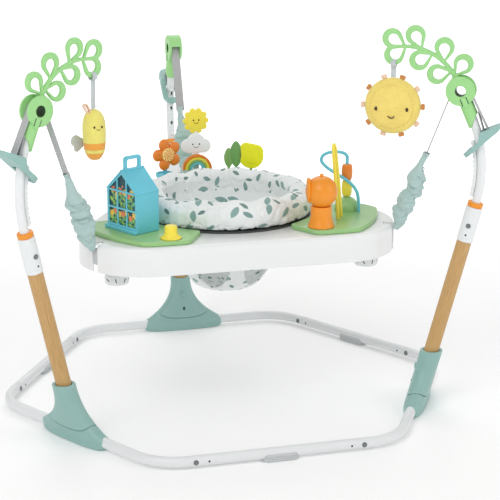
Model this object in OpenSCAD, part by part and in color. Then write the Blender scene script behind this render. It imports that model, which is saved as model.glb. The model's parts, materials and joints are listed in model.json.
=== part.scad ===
// Baby jumper: a spinning padded seat in a toy tray, hung by sprung straps from three posts on a tube base.
// Origin on the floor under the seat, +Z up, the front of the tray towards -Y. All sizes in millimetres.

/* [Base] */
// Outer diameter of the base tube
tube_od = 22; // [18:0.5:26]
// Wall of the base tube
tube_wall = 1.6; // [1.2:0.1:2.4]
// Distance from the centre to the tube at each foot
foot_r = 440; // [420:5:460]
// Distance from the centre to each straight bar
bar_r = 440; // [425:5:455]
// Bend radius of the base tube
base_bend_r = 110; // [80:5:130]
// Length of a bar's spigot inside the bent tube
spigot_len = 26; // [22:1:40]
// Half of a straight bar's length between its joints
bar_half = 164; // [130:2:172]
// Length of a grip pad
pad_len = 50; // [35:1:70]
// Width of a grip pad
pad_w = 28; // [27:1:40]
// Height of the base tube above the floor
pad_drop = 4; // [2:0.5:8]
// Diameter of a snap button
snap_d = 8; // [6:0.5:9]
// Distance of a snap button from its tube joint
snap_inset = 13; // [10:1:18]
// Height of a snap button above the tube
snap_stand = 2.5; // [1:0.5:4]

/* [Feet] */
// Half of a foot's length along the tube
foot_half = 103; // [90:1:115]
// Depth of a foot across the tube
foot_depth = 46; // [40:1:54]
// Height at which a foot is longest
foot_wide_z = 20; // [14:1:26]
// How quickly a foot draws in above that
foot_sweep = 2.6; // [2:0.1:3.4]
// Radius of the socket's rim
neck_r = 24.5; // [22:0.5:28]
// Height of the socket's rim
rim_z = 128; // [115:1:145]
// Height of the seam between foot and socket at its lowest
seam_z = 31; // [29:1:36]
// Rise of that seam towards the ends of the foot
seam_rise = 15; // [5:1:24]
// Gap at the seam
seam_gap = 0.5; // [0.3:0.1:1]
// Diameter of the screw cap on the inside of a socket
screw_d = 14; // [8:1:18]
// Height of that screw cap
screw_z = 88; // [80:1:96]
// Depth of that screw cap's seat
screw_sink = 3; // [2:0.5:4]

/* [Posts] */
// Outer diameter of the lower post
post_od = 32; // [29:0.5:34]
// Wall of the lower post
post_wall = 2; // [1.5:0.1:3]
// Outward lean of the lower post, in degrees
post_lean = 14; // [10:0.5:18]
// Length of the lower post from the foot's rim to the collar
post_len = 260; // [220:5:300]
// Depth of the lower post in its foot
post_seat = 60; // [40:1:70]
// Outer diameter of the collar
collar_od = 35.5; // [35:0.5:42]
// Length of the collar
collar_len = 78; // [66:1:95]
// Depth of the lower post in the collar
collar_grip = 40; // [30:1:50]
// Outer diameter of the ring on top of the collar
ring_od = 33; // [28:0.5:38]
// Thickness of that ring
ring_t = 10; // [6:0.5:12]
// Outer diameter of the upper tube
riser_od = 19; // [17:0.5:22]
// Wall of the upper tube
riser_wall = 1.5; // [1:0.1:2.5]
// Length of the upper tube below the top of the collar
riser_tuck = 56; // [40:1:70]
// Straight stretch of the upper tube above the collar
riser_rise = 15; // [12:1:25]
// Bend radius of the upper tube
riser_bend_r = 270; // [250:2:300]
// Inward lean of the upper tube at its top, in degrees
riser_lean = 24; // [20:0.5:28]
// Straight stretch from the bend to the centre of the head
riser_top = 63; // [56:1:72]
// Radial depth of the height rack
rack_depth = 8.5; // [6:0.5:11]
// Width of the height rack
rack_w = 10; // [8:0.5:14]
// Spacing of the height holes
rack_pitch = 40; // [34:1:44]

/* [Heads] */
// Radius of a head's flanges
flange_r = 31; // [29:0.5:36]
// Thickness of a flange
flange_t = 5; // [3:0.5:7]
// Radius of the hole through a head
hub_bore_r = 11.5; // [8:0.5:13]
// Radius of the drum that carries the strap
drum_r = 15.5; // [14.5:0.5:17]
// Width of the strap
strap_w = 20; // [16:0.5:24]
// Thickness of the strap
strap_t = 1.6; // [1.2:0.1:2]
// Outer diameter of a head's socket
socket_od = 29; // [26:0.5:30]
// Length of a head's socket from the head's centre
socket_len = 80; // [74:1:90]

/* [Branches] */
// Radius of the branch's arch
stem_r = 120; // [110:1:130]
// Width of the stem
stem_w = 8; // [6:0.5:11]
// Thickness of the stem and leaves
leaf_t = 9; // [6:0.5:12]
// Outer radius of a leaf loop
leaf_r = 21; // [19:0.5:23]
// Width of the band round a leaf loop
leaf_wall = 7.5; // [5:0.5:9]
// Distance from the stem to the centre of a leaf loop
leaf_reach = 32; // [29:1:36]

/* [Adjusters] */
// Tilt of an adjuster plate, in degrees
adjuster_tilt = 43; // [38:1:48]
// Thickness of an adjuster plate
adjuster_t = 9; // [7:0.5:11]
// Width of an adjuster
adjuster_w = 44; // [34:0.5:50]
// Length of an adjuster on the inner side of the post
adjuster_in = 42; // [40:1:50]
// Length of an adjuster on the outer side of the post
adjuster_out = 64; // [58:1:74]
// Height of an adjuster above the lowest height hole
adjuster_lift = 5; // [3:0.5:8]

/* [Springs] */
// Radius of a spring cover between its folds
cover_r = 17; // [15:0.5:19]
// Length of a spring cover
cover_len = 182; // [172:1:190]
// Depth of the gathers in a spring cover
cover_gather = 2.6; // [1:0.1:3]
// Radius of the hidden coil spring
spring_r = 10; // [8:0.5:11]
// Wire thickness of the hidden coil spring
spring_wire = 2.4; // [1.6:0.1:3]
// Length of the hidden coil spring
spring_len = 120; // [100:1:130]

/* [Tray] */
// Height of the tray's deck above the floor
tray_top = 408; // [395:1:420]
// Depth of the tray's skirt
tray_h = 60; // [52:1:70]
// Wall of the tray
tray_wall = 3; // [2:0.1:4]
// Radius of the tray's three corners
corner_r = 144; // [138:1:150]
// Distance from the centre to the middle of each corner
corner_d = 232; // [228:1:240]
// Radius of the rounded top edge
edge_r = 8; // [5:0.5:10]
// Radius of the seat hole
hole_r = 172; // [166:1:175]
// Width of the notch for each strap clip
notch_w = 16; // [13:0.5:20]
// Outer diameter of the leg sockets under the tray
leg_socket_od = 50; // [44:1:54]
// Depth of those leg sockets below the skirt
leg_socket_drop = 36; // [25:1:45]
// Distance from the centre to a leg socket
leg_socket_r = 318; // [310:1:322]
// Thickness of the toy mats
mat_t = 10; // [9:0.5:14]

/* [Seat] */
// Clearance of the seat ring in the tray
seat_gap = 0.5; // [0.3:0.1:1]
// Outer radius of the seat ring's flange
seat_flange_r = 188; // [184:1:192]
// Inner radius of the seat ring
seat_inner_r = 150; // [145:1:155]
// Height of the padded rim above the tray
pad_h = 62; // [50:1:75]
// Thickness of the padded rim
pad_t = 42; // [34:1:44]
// Number of gathers round the padded rim
pad_gathers = 14; // [8:1:18]
// Depth of the seat pouch below the deck
pouch_drop = 166; // [140:2:180]
// Wall of the seat pouch
pouch_t = 3; // [2:0.5:5]
// Radius of a leg hole
leg_hole_r = 52; // [44:1:56]

/* [House] */
// Width of the house
house_w = 98; // [88:1:104]
// Depth of the house
house_d = 60; // [52:1:64]
// Height of the house's eaves
eave_h = 86; // [76:1:92]
// Height of the house's ridge
ridge_h = 130; // [120:1:138]
// Wall of the house
house_wall = 3; // [2:0.5:4]
// Width of the window bars
bar_w = 4; // [3:0.5:6]
// Height of the carry handle
handle_h = 30; // [26:1:36]

/* [Tray toys] */
// Radius of the push button's top
button_r = 13; // [10:0.5:15]
// Radius of the push button's flare
button_flare_r = 22; // [18:0.5:24]
// Travel of the push button
button_travel = 5; // [3:0.5:6]
// Outer radius of the rainbow
rainbow_r = 35.5; // [31:0.5:38]
// Width of one rainbow band
band_w = 6; // [4:0.5:6.5]
// Radius of the small sun
small_sun_r = 30; // [23:0.5:33]
// Height of the flower's centre above the deck
flower_lift = 86; // [74:1:92]
// Radius of a flower petal
petal_r = 14; // [11:0.5:15]
// Height of the tulip
tulip_h = 70; // [60:1:78]
// Radius of the spinner's drum
spinner_r = 34; // [30:0.5:36]
// Radius of the bead wires
wire_r = 3.5; // [3:0.1:4.5]
// Radius of a bead
bead_r = 12; // [10.5:0.5:13]

/* [Hanging toys] */
// Radius of the plush sun
sun_r = 60; // [46:1:66]
// Half thickness of the plush sun
sun_swell = 19; // [14:1:24]
// Radius of the plush bee
bee_r = 24; // [20:1:27]
// Length of the plush bee
bee_len = 106; // [95:1:115]
// Width of the hanging ribbons
ribbon_w = 11; // [8:0.5:13]

/* [Hidden] */
$fn = 64;

LEFT = 210;
RIGHT = 330;
BACK = 90;
LEGS = [LEFT, RIGHT, BACK];
BARS = [270, 30, 150];

WHITE = [0.94, 0.95, 0.95];
MINT = [0.57, 0.72, 0.70];
GREEN = [0.62, 0.84, 0.55];
WOOD = [0.79, 0.64, 0.43];
GREY = [0.69, 0.69, 0.69];
BLUE = [0.42, 0.77, 0.84];
ORANGE = [0.94, 0.59, 0.14];
YELLOW = [0.93, 0.90, 0.25];
PLUSH = [0.97, 0.88, 0.51];

// Clearances: pieces fixed to each other, pieces that slide or turn, and soft pieces
fit_gap = 0.15;
run_gap = 0.4;
soft_gap = 0.3;
eps = 0.5;
// Overlap where straight and bent tube join, and how much thinner the straight one is there
seam_lap = 0.5;
seam_step = 0.15;

// Base tube
tube_id = tube_od - 2 * tube_wall;
tube_z = tube_od / 2 + pad_drop;
spigot_od = tube_id - 2 * fit_gap;
bend_tan = base_bend_r * tan(30);
foot_straight = (2 * bar_r - foot_r) / sqrt(3) - bend_tan;
bar_straight = (2 * foot_r - bar_r) / sqrt(3) - bend_tan;
bend_end = bar_straight - bar_half;

// Post line in a leg's upright plane
rim_x = foot_r + tan(post_lean) * (rim_z - tube_z);
collar_top = post_len + collar_len;
bore_gap = 0.1;
function on_post(s) = [rim_x + s * sin(post_lean), rim_z + s * cos(post_lean)];
riser_start = on_post(collar_top + riser_rise);
riser_mid = riser_start + riser_bend_r * [-cos(post_lean), sin(post_lean)];
riser_end = riser_mid + riser_bend_r * [cos(riser_lean), sin(riser_lean)];
hub = riser_end + riser_top * [-sin(riser_lean), cos(riser_lean)];
riser_stop = drum_r + 9;
mouth_gap = 2 * fit_gap + pow(max(socket_len - riser_top, 0), 2) / (2 * riser_bend_r);

// Height rack, and the place of the adjuster on the upper tube
rack_top = riser_mid.y + 66;
rack_low = riser_mid.y - 60;
hole_top = riser_mid.y + 52;
hole_h = 9;
hole_deep = 5;
function riser_x(z) = riser_mid.x + sqrt(riser_bend_r * riser_bend_r - pow(z - riser_mid.y, 2));
rack_outer = riser_bend_r - riser_od / 2 - fit_gap;
rack_inner = rack_outer - rack_depth;
adjuster_z = hole_top + adjuster_lift;
travel = 2 * rack_pitch;
adjuster_at = [riser_x(adjuster_z), adjuster_z];
slide_lean = atan((riser_x(adjuster_z - travel) - adjuster_at.x) / travel);
bow = riser_bend_r - sqrt(riser_bend_r * riser_bend_r - travel * travel / 4);
dip_z = adjuster_z - travel - adjuster_in * sin(adjuster_tilt);
dip = adjuster_at.x + (adjuster_z - dip_z) * tan(slide_lean) - riser_x(dip_z);
wedge_h = 18;
wedge_u = 19;
function on_plate(u, v) = adjuster_at + [u * cos(adjuster_tilt) - v * sin(adjuster_tilt),
                                         u * sin(adjuster_tilt) + v * cos(adjuster_tilt)];

// Strap lines: the drop to the tray and the tail to the adjuster, both tangent to the drum
lay_r = drum_r + fit_gap + strap_t / 2;
clip_r = corner_d + corner_r + 2;
clip_z = tray_top - 22;
clip_at = [clip_r, clip_z];
tail_at = on_plate(31, 3);
function span(a) = norm(hub - a);
function heading(a) = atan2(hub.y - a.y, hub.x - a.x);
drop_angle = heading(clip_at) + asin(lay_r / span(clip_at));
tail_angle = heading(tail_at) - asin(lay_r / span(tail_at));
drop_len = sqrt(pow(span(clip_at), 2) - lay_r * lay_r);
tail_len = sqrt(pow(span(tail_at), 2) - lay_r * lay_r);
cover_start = 11;
strap_half = strap_w / 2;
flange_in = strap_half + run_gap;
flange_out = flange_in + flange_t;

// Branch: arch in the leg's plane, and where each leaf leaves it (stem angle, leaf heading)
stem_from = 28;
stem_to = 108;
stem_mid = hub + [-118, -32];
UPPER_LEAVES = [[31, 55], [48, 90], [74, 116], [91, 150]];
LOWER_LEAVES = [[36, 192], [62, 207], [90, 217]];
function on_stem(a) = stem_mid + stem_r * [cos(a), sin(a)];
toy_leaf = LOWER_LEAVES[2];
toy_leaf_mid = on_stem(toy_leaf[0]) + leaf_reach * [cos(toy_leaf[1]), sin(toy_leaf[1])];
toy_pivot = toy_leaf_mid - [0, leaf_r - leaf_wall / 2];
loop_r = norm([leaf_wall, leaf_t]) / 2 + 1.4;
ribbon_t = 1.2;

// Tray
tray_low = tray_top - tray_h;
deck_low = tray_top - tray_wall;
mat_top = tray_top + mat_t;
mat_inset = 14;
mat_tip = 40;
mat_in_r = seat_flange_r + 10;
leg_bore_r = post_od / 2 + bore_gap;
leg_bore_deep = 64;

// Seat
ring_drop = 24;
flange_low = tray_top + soft_gap;
seat_flange_t = 4;
pad_low = flange_low + seat_flange_t + soft_gap;
pad_bulge = 6;
pad_mid_r = seat_flange_r - pad_t / 2 - 2;
lip_t = 3;

// Places of the tray toys: bearing round the tray and distance from the mats' inner edge
function toy_at(bearing, out) = [bearing, mat_in_r + out];
house_at = toy_at(LEFT - 2, 64);
button_at = toy_at(LEFT + 22, 81);
pot_at = toy_at(BACK + 18, 66);
rainbow_at = toy_at(BACK, 72);
tulip_at = toy_at(BACK - 28, 60);
spinner_at = toy_at(RIGHT - 24, 65);
hill_at = toy_at(RIGHT + 12, 70);
loop_at = toy_at(RIGHT - 5, 66);
hill_r = 27;
hill_h = 30;

module leg(a) rotate([0, 0, a]) children();
module place(at) rotate([0, 0, at[0]]) translate([at[1], 0, 0]) children();
// Draws upright outlines: x stays outwards, y becomes up
module upright(t) rotate([90, 0, 0]) linear_extrude(t, center = true) children();
// Turns a section about an axis across a leg's plane
module arc(mid, from, to) {
    translate([mid.x, 0, mid.y]) rotate([90, 0, 0]) rotate([0, 0, from])
        rotate_extrude(angle = to - from, $fn = 96)
        children();
}
// Rod along a line in a leg's plane
module rod(at, angle, len, d) {
    translate([at.x, 0, at.y]) rotate([0, 90 - angle, 0]) cylinder(d = d, h = len);
}
module post_frame() translate([rim_x, 0, rim_z]) rotate([0, post_lean, 0]) children();
// Straight and bent lengths of tube
module hollow(h, od, id) {
    difference() {
        cylinder(d = od - 2 * seam_step, h = h);
        translate([0, 0, -eps]) cylinder(d = id + 2 * seam_step, h = h + 2 * eps);
    }
}
module hollow_arc(r, angle, od, id) {
    rotate_extrude(angle = angle, $fn = 96) translate([r, 0]) difference() {
        circle(d = od);
        circle(d = id);
    }
}

// Closed solid through a stack of rings, with fans at both ends
module skin(rings, low, high) {
    n = len(rings[0]);
    m = len(rings);
    sides = [for (i = [0:m - 2], j = [0:n - 1]) let (k = (j + 1) % n, a = i * n, b = a + n)
             each [[a + j, b + j, b + k], [a + j, b + k, a + k]]];
    ends = [for (j = [0:n - 1]) let (k = (j + 1) % n, t = (m - 1) * n)
            each [[m * n, j, k], [m * n + 1, t + k, t + j]]];
    polyhedron(concat([for (r = rings) each r], [low, high]), concat(sides, ends));
}
// Closed ring through a loop of sections
module ring_skin(rings) {
    n = len(rings[0]);
    m = len(rings);
    polyhedron([for (r = rings) each r],
               [for (i = [0:m - 1], j = [0:n - 1]) let (k = (j + 1) % n, a = i * n, b = ((i + 1) % m) * n)
                each [[a + j, b + j, b + k], [a + j, b + k, a + k]]]);
}
function unit(v) = v / norm(v);
// Ring of points round a route point
function ring_at(p, t, r, sides, across) =
    let (n = unit(cross(across, t)), b = cross(t, n))
    [for (j = [0:sides - 1]) p + r * (cos(360 * j / sides) * n + sin(360 * j / sides) * b)];
// Smooth curve through a list of route points
function bend(p, i, t) =
    let (a = p[max(i - 1, 0)], b = p[i], c = p[i + 1], d = p[min(i + 2, len(p) - 1)])
    0.5 * (2 * b + (c - a) * t + (2 * a - 5 * b + 4 * c - d) * t * t + (3 * b - a - 3 * c + d) * t * t * t);
function smooth(p, steps) =
    concat([for (i = [0:len(p) - 2], k = [0:steps - 1]) bend(p, i, k / steps)], [p[len(p) - 1]]);
module wire(route, r, across) {
    m = len(route) - 1;
    skin([for (i = [0:m]) let (run = route[min(i + 1, m)] - route[max(i - 1, 0)])
          ring_at(route[i], unit(run), r, 10, across)], route[0], route[m]);
}
function superellipse(a, b, p, t) = [a * sign(cos(t)) * pow(abs(cos(t)), 2 / p),
                                     b * sign(sin(t)) * pow(abs(sin(t)), 2 / p)];

// Base: three bent tubes, three bars with spigots, pads and snap buttons
module base_route() {
    translate([foot_r, -foot_straight - seam_lap, tube_z]) rotate([-90, 0, 0])
        hollow(2 * (foot_straight + seam_lap), tube_od, tube_id);
    for (s = [0, 1]) mirror([0, s, 0]) translate([foot_r - base_bend_r, foot_straight, tube_z]) {
        hollow_arc(base_bend_r, 60, tube_od, tube_id);
        rotate([0, 0, 60]) translate([base_bend_r, -seam_lap, 0]) rotate([-90, 0, 0])
            hollow(bend_end + seam_lap, tube_od, tube_id);
    }
}
module bar_frame(a) rotate([0, 0, a]) translate([bar_r, 0, tube_z]) children();
module snap_holes(extra) {
    for (s = [-1, 1]) translate([0, s * (bar_half + snap_inset), 0]) rotate([0, 90, 0])
        cylinder(d = snap_d + 2 * extra, h = 2 * tube_od, center = true);
}
module base_bend(a) {
    color(WHITE) difference() {
        leg(a) base_route();
        for (b = BARS) bar_frame(b) snap_holes(fit_gap);
    }
}
module base_bars() {
    color(WHITE) for (b = BARS) bar_frame(b) difference() {
        rotate([90, 0, 0]) {
            cylinder(d = tube_od, h = 2 * bar_half, center = true);
            cylinder(d = spigot_od, h = 2 * (bar_half + spigot_len), center = true);
        }
        rotate([90, 0, 0]) cylinder(d = spigot_od - 2 * tube_wall,
            h = 2 * (bar_half + spigot_len) + 2 * eps, center = true);
        snap_holes(fit_gap);
    }
}
module base_pads() {
    color(GREY) for (b = BARS) rotate([0, 0, b]) translate([bar_r, 0, 0]) difference() {
        union() {
            translate([-pad_w / 2, -pad_len / 2, 0]) cube([pad_w, pad_len, tube_z]);
            for (s = [-1, 1]) translate([0, s * pad_len / 2, 0]) cylinder(d = pad_w, h = tube_z);
        }
        translate([0, 0, tube_z]) rotate([90, 0, 0])
            cylinder(d = tube_od + 2 * fit_gap, h = 3 * pad_len, center = true);
    }
}
module snap_buttons() {
    color(GREY) {
        for (b = BARS) bar_frame(b) for (s = [-1, 1]) translate([0, s * (bar_half + snap_inset), 0])
            rotate([0, 90, 0])
            cylinder(d = snap_d, h = tube_od + 2 * snap_stand, center = true);
        for (a = LEGS) leg(a) post_frame() translate([0, 0, collar_pin]) rotate([90, 0, 0])
            cylinder(d = snap_d, h = collar_od + 2 * snap_stand, center = true);
    }
}

// Feet: a flared saddle over the tube and a leaning socket on top of it, parted by a bowed seam
FOOT_SIDES = 36;
function foot_draw(z) = z < foot_wide_z
    ? 1 - 0.09 * pow(1 - z / foot_wide_z, 2)
    : pow(max(0, 1 - (z - foot_wide_z) / (rim_z - foot_wide_z)), foot_sweep);
function foot_point(z, t) =
    let (a = foot_depth / 2 + (neck_r - foot_depth / 2) * z / rim_z,
         b = neck_r + (foot_half - neck_r) * foot_draw(z),
         q = superellipse(a, b, 2 + 0.7 * (1 - z / rim_z), t))
    [foot_r + tan(post_lean) * max(z - tube_z, 0) + q.x, q.y, z];
function seam(t) = seam_z + seam_rise * pow(sin(t), 2);
module foot(a) {
    steps = 8;
    color(MINT) leg(a) difference() {
        skin([for (i = [0:steps]) [for (j = [0:FOOT_SIDES - 1]) let (t = 360 * j / FOOT_SIDES)
                                   foot_point((seam(t) - seam_gap) * i / steps, t)]],
             [foot_r, 0, 0], [foot_r, 0, seam_z - seam_gap]);
        translate([foot_r, 0, tube_z]) rotate([90, 0, 0])
            cylinder(d = tube_od + 2 * fit_gap, h = 3 * foot_half, center = true);
    }
}
module foot_sockets() {
    steps = 12;
    color(MINT) for (a = LEGS) leg(a) difference() {
        skin([for (i = [0:steps]) [for (j = [0:FOOT_SIDES - 1]) let (t = 360 * j / FOOT_SIDES)
                                   foot_point(seam(t) + (rim_z - seam(t)) * i / steps, t)]],
             [foot_r, 0, seam_z], [rim_x, 0, rim_z]);
        post_frame() translate([0, 0, -post_seat]) cylinder(d = post_od + 2 * fit_gap, h = 2 * post_seat);
        screw_seat(fit_gap);
    }
}
screw_x = foot_point(screw_z, 180).x;
module screw_seat(extra) {
    translate([screw_x + screw_sink, 0, screw_z]) rotate([0, -90, 0])
        cylinder(d = screw_d + 2 * extra, h = 2 * screw_sink);
}
module foot_screws() {
    color(MINT) for (a = LEGS) leg(a) translate([screw_x + screw_sink - fit_gap, 0, screw_z])
        rotate([0, -90, 0])
        cylinder(d = screw_d, h = screw_sink + 2);
}

// Posts: lower tube, collar, ring and bent upper tube with its height rack
collar_pin = post_len + collar_len * 0.48;
module post(a) {
    color(WOOD) leg(a) post_frame() difference() {
        translate([0, 0, -post_seat + fit_gap])
            cylinder(d = post_od, h = post_seat + post_len + collar_grip - 2 * fit_gap);
        translate([0, 0, -post_seat - eps])
            cylinder(d = post_od - 2 * post_wall, h = post_seat + collar_top);
        translate([0, 0, collar_pin]) rotate([90, 0, 0])
            cylinder(d = snap_d + 2 * fit_gap, h = 2 * post_od, center = true);
    }
}
module post_collars() {
    color(WHITE) for (a = LEGS) leg(a) post_frame() difference() {
        translate([0, 0, post_len]) cylinder(d = collar_od, h = collar_len);
        translate([0, 0, post_len - eps]) cylinder(d = post_od + 2 * fit_gap, h = collar_grip + eps);
        cylinder(d = riser_od + 2 * fit_gap, h = collar_top + eps);
        translate([0, 0, collar_pin]) rotate([90, 0, 0])
            cylinder(d = snap_d + 2 * fit_gap, h = 2 * collar_od, center = true);
    }
}
module post_rings() {
    color(ORANGE) for (a = LEGS) leg(a) post_frame()
        translate([0, 0, collar_top + ring_t / 2 + fit_gap]) rotate_extrude()
        intersection() {
            translate([riser_od / 2 + fit_gap, -ring_t / 2]) square([ring_od, ring_t]);
            union() {
                translate([ring_od / 2 - ring_t / 2, 0]) circle(d = ring_t);
                translate([0, -ring_t / 2]) square([ring_od / 2 - ring_t / 2, ring_t]);
            }
        }
}
module riser_route() {
    id = riser_od - 2 * riser_wall;
    translate([riser_mid.x, 0, riser_mid.y]) rotate([90, 0, 0]) rotate([0, 0, -post_lean]) {
        hollow_arc(riser_bend_r, post_lean + riser_lean, riser_od, id);
        translate([riser_bend_r, seam_lap, 0]) rotate([90, 0, 0])
            hollow(riser_tuck + riser_rise + seam_lap, riser_od, id);
        rotate([0, 0, post_lean + riser_lean]) translate([riser_bend_r, -seam_lap, 0]) rotate([-90, 0, 0])
            hollow(riser_top - riser_stop + seam_lap, riser_od, id);
    }
}
module risers() {
    color(WHITE) for (a = LEGS) leg(a) difference() {
        riser_route();
        post_frame() translate([0, 0, collar_pin]) rotate([90, 0, 0])
            cylinder(d = snap_d + 2 * fit_gap, h = 2 * riser_od, center = true);
    }
}
function rack_angle(z) = asin((z - riser_mid.y) / riser_bend_r);
module height_racks() {
    color(WHITE) for (a = LEGS) leg(a) difference() {
        arc(riser_mid, rack_angle(rack_low), rack_angle(rack_top)) translate([rack_inner, -rack_w / 2])
            square([rack_depth, rack_w]);
        for (i = [0:2]) translate([riser_mid.x, 0, riser_mid.y])
            rotate([0, -rack_angle(hole_top - i * rack_pitch), 0])
            translate([rack_inner - eps, -rack_w / 4, -hole_h / 2])
                cube([hole_deep + eps, rack_w / 2, hole_h]);
    }
}

// Heads: a strap drum between two flanges, with a socket for the upper tube
module head(a) {
    down = riser_lean - 90;
    grip = socket_len - 24;
    hood_t = 5;
    hood_gap = 22;
    hood_from = a == BACK ? 70 : heading(on_stem(stem_from)) + 180 + hood_gap;
    hood_to = 168;
    color(GREEN) leg(a) difference() {
        union() {
            arc(hub, hood_from, hood_to) translate([flange_r - hood_t, -flange_in - eps])
                square([hood_t, 2 * flange_in + 2 * eps]);
            for (s = [-1, 1]) translate([hub.x, s * (flange_in + flange_t / 2), hub.y]) rotate([90, 0, 0])
                cylinder(r = flange_r, h = flange_t, center = true);
            translate([hub.x, 0, hub.y]) rotate([90, 0, 0])
                cylinder(r = drum_r, h = 2 * flange_out, center = true);
            difference() {
                rod(hub + (drum_r + 6) * [cos(down), sin(down)], down, socket_len - drum_r - 6, socket_od);
                translate([hub.x, 0, hub.y]) rotate([0, 90 - down, 0]) translate([-socket_od / 2, 0, grip])
                    rotate([0, -45, 0]) translate([0, -socket_od, 0])
                        cube([3 * socket_od, 2 * socket_od, 3 * socket_od]);
            }
            for (s = [-1, 1]) translate([hub.x, s * flange_out, hub.y]) rotate([0, 90 - down, 0]) tongue();
        }
        translate([hub.x, 0, hub.y]) rotate([90, 0, 0])
            cylinder(r = hub_bore_r, h = 4 * flange_out, center = true);
        rod(hub + (riser_stop - fit_gap) * [cos(down), sin(down)], down, 2 * socket_len,
            riser_od + 2 * fit_gap);
        rod(hub + riser_top * [cos(down), sin(down)], down, 2 * socket_len, riser_od + 2 * mouth_gap);
    }
}
// Spring tongue on a flange's face
module tongue() {
    tongue_w = 11;
    tongue_t = 2.4;
    rotate([90, 0, 0]) linear_extrude(tongue_t, center = true) rotate([0, 0, 90]) {
        translate([hub_bore_r + 2, -tongue_w / 2])
            square([flange_r - hub_bore_r - tongue_w / 2 - 3, tongue_w]);
        translate([flange_r - tongue_w / 2 - 1, 0]) circle(d = tongue_w);
    }
}

// Branches: an arched stem with teardrop loops on both sides
module teardrop(r, reach) {
    side = acos(r / reach);
    circle(r = r);
    polygon([[-reach, 0], r * [-cos(side), -sin(side)], [0, 0], r * [-cos(side), sin(side)]]);
}
module leaf(at, inset) {
    mid = on_stem(at[0]) + leaf_reach * [cos(at[1]), sin(at[1])];
    translate(mid) rotate(at[1]) teardrop(leaf_r - inset, leaf_reach + stem_w / 4 - 1.3 * inset);
}
module stem() {
    far = 2 * stem_r;
    translate(stem_mid) intersection() {
        difference() {
            circle(r = stem_r + stem_w / 2);
            circle(r = stem_r - stem_w / 2);
        }
        polygon([[0, 0], for (i = [0:2]) let (a = stem_from + (stem_to - stem_from) * i / 2)
            far * [cos(a), sin(a)]]);
    }
}
module branch(a) {
    leaves = concat(UPPER_LEAVES, LOWER_LEAVES);
    foot_angle = heading(on_stem(stem_from)) + 180;
    color(GREEN) leg(a) {
        upright(leaf_t) difference() {
            union() {
                stem();
                for (at = leaves) leaf(at, 0);
            }
            for (at = leaves) leaf(at, leaf_wall);
        }
        translate([hub.x, 0, hub.y]) rotate([0, -foot_angle, 0])
            translate([drum_r + strap_t + 2, -flange_in + fit_gap, -7])
            cube([flange_r - drum_r - strap_t, 2 * (flange_in - fit_gap), 14]);
    }
}

// Straps: over the drum, down to the spring cover, and down to the adjuster
module strap(at, angle, from, to) {
    translate([at.x, 0, at.y]) rotate([0, 90 - angle, 0]) translate([-strap_t / 2, -strap_half, from])
        cube([strap_t, strap_w, to - from]);
}
module strap_wraps() {
    color(GREY) for (a = LEGS) leg(a) arc(hub, tail_angle - 90, drop_angle + 90)
        translate([drum_r + fit_gap, -strap_half]) square([strap_t, strap_w]);
}
module strap_drops() {
    color(GREY) for (a = LEGS) leg(a)
        strap(clip_at, drop_angle, cover_start + cover_len + soft_gap, drop_len - eps / 10);
}
return_step = 11;
return_low = tail_at - return_step * [sin(tail_angle), -cos(tail_angle)];
socket_corner = hub + (socket_len - 26) * [sin(riser_lean), -cos(riser_lean)]
              + (socket_od / 2 + strap_t + 1) * [cos(riser_lean), sin(riser_lean)];
return_angle = atan2(socket_corner.y - return_low.y, socket_corner.x - return_low.x);
module strap_tails() {
    color(GREY) for (a = LEGS) leg(a) {
        strap(tail_at, tail_angle, 0, tail_len - eps / 10);
        strap(return_low, return_angle, 0, norm(socket_corner - return_low));
    }
}

// Adjusters: a tilted wedge plate that rides the upper tube and its rack
module adjuster(a) {
    slot_t = strap_t + 2 * run_gap + 1;
    play = 1.2;
    half_t = adjuster_t / 2;
    tip_len = 14;
    tip_t = 3;
    color(MINT) leg(a) difference() {
        translate([adjuster_at.x, 0, adjuster_at.y]) rotate([0, -adjuster_tilt, 0]) intersection() {
            upright(adjuster_w)
                polygon([[-adjuster_in, -half_t], [adjuster_out - tip_len, -half_t],
                         [adjuster_out, 2 - tip_t], [adjuster_out, 2],
                         [wedge_u, wedge_h], [2, half_t], [-adjuster_in, half_t]]);
            linear_extrude(4 * wedge_h, center = true) hull()
                for (u = [adjuster_w / 2 - adjuster_in, adjuster_out - adjuster_w / 2]) translate([u, 0])
                    circle(d = adjuster_w, $fn = 48);
        }
        translate([adjuster_at.x, 0, adjuster_at.y]) rotate([0, 180 - slide_lean, 0])
            translate([0, 0, -2 * adjuster_out])
            linear_extrude(4 * adjuster_out) adjuster_channel(play);
        for (at = [tail_at, return_low]) translate([at.x, 0, at.y])
            rotate([0, 90 - tail_angle, 0]) translate([-slot_t / 2, -strap_half - 1, -3])
                cube([slot_t, strap_w + 2, 2 * adjuster_out]);
    }
}
// Clear way through an adjuster for the bowed tube and the rack, seen along the slide
module adjuster_channel(play) {
    reach = riser_od / 2 + rack_depth + play + max(bow, dip);
    half = riser_od / 2 + play;
    translate([-half - bow - play, -half]) square([half + bow + play + reach, 2 * half]);
}

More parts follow.
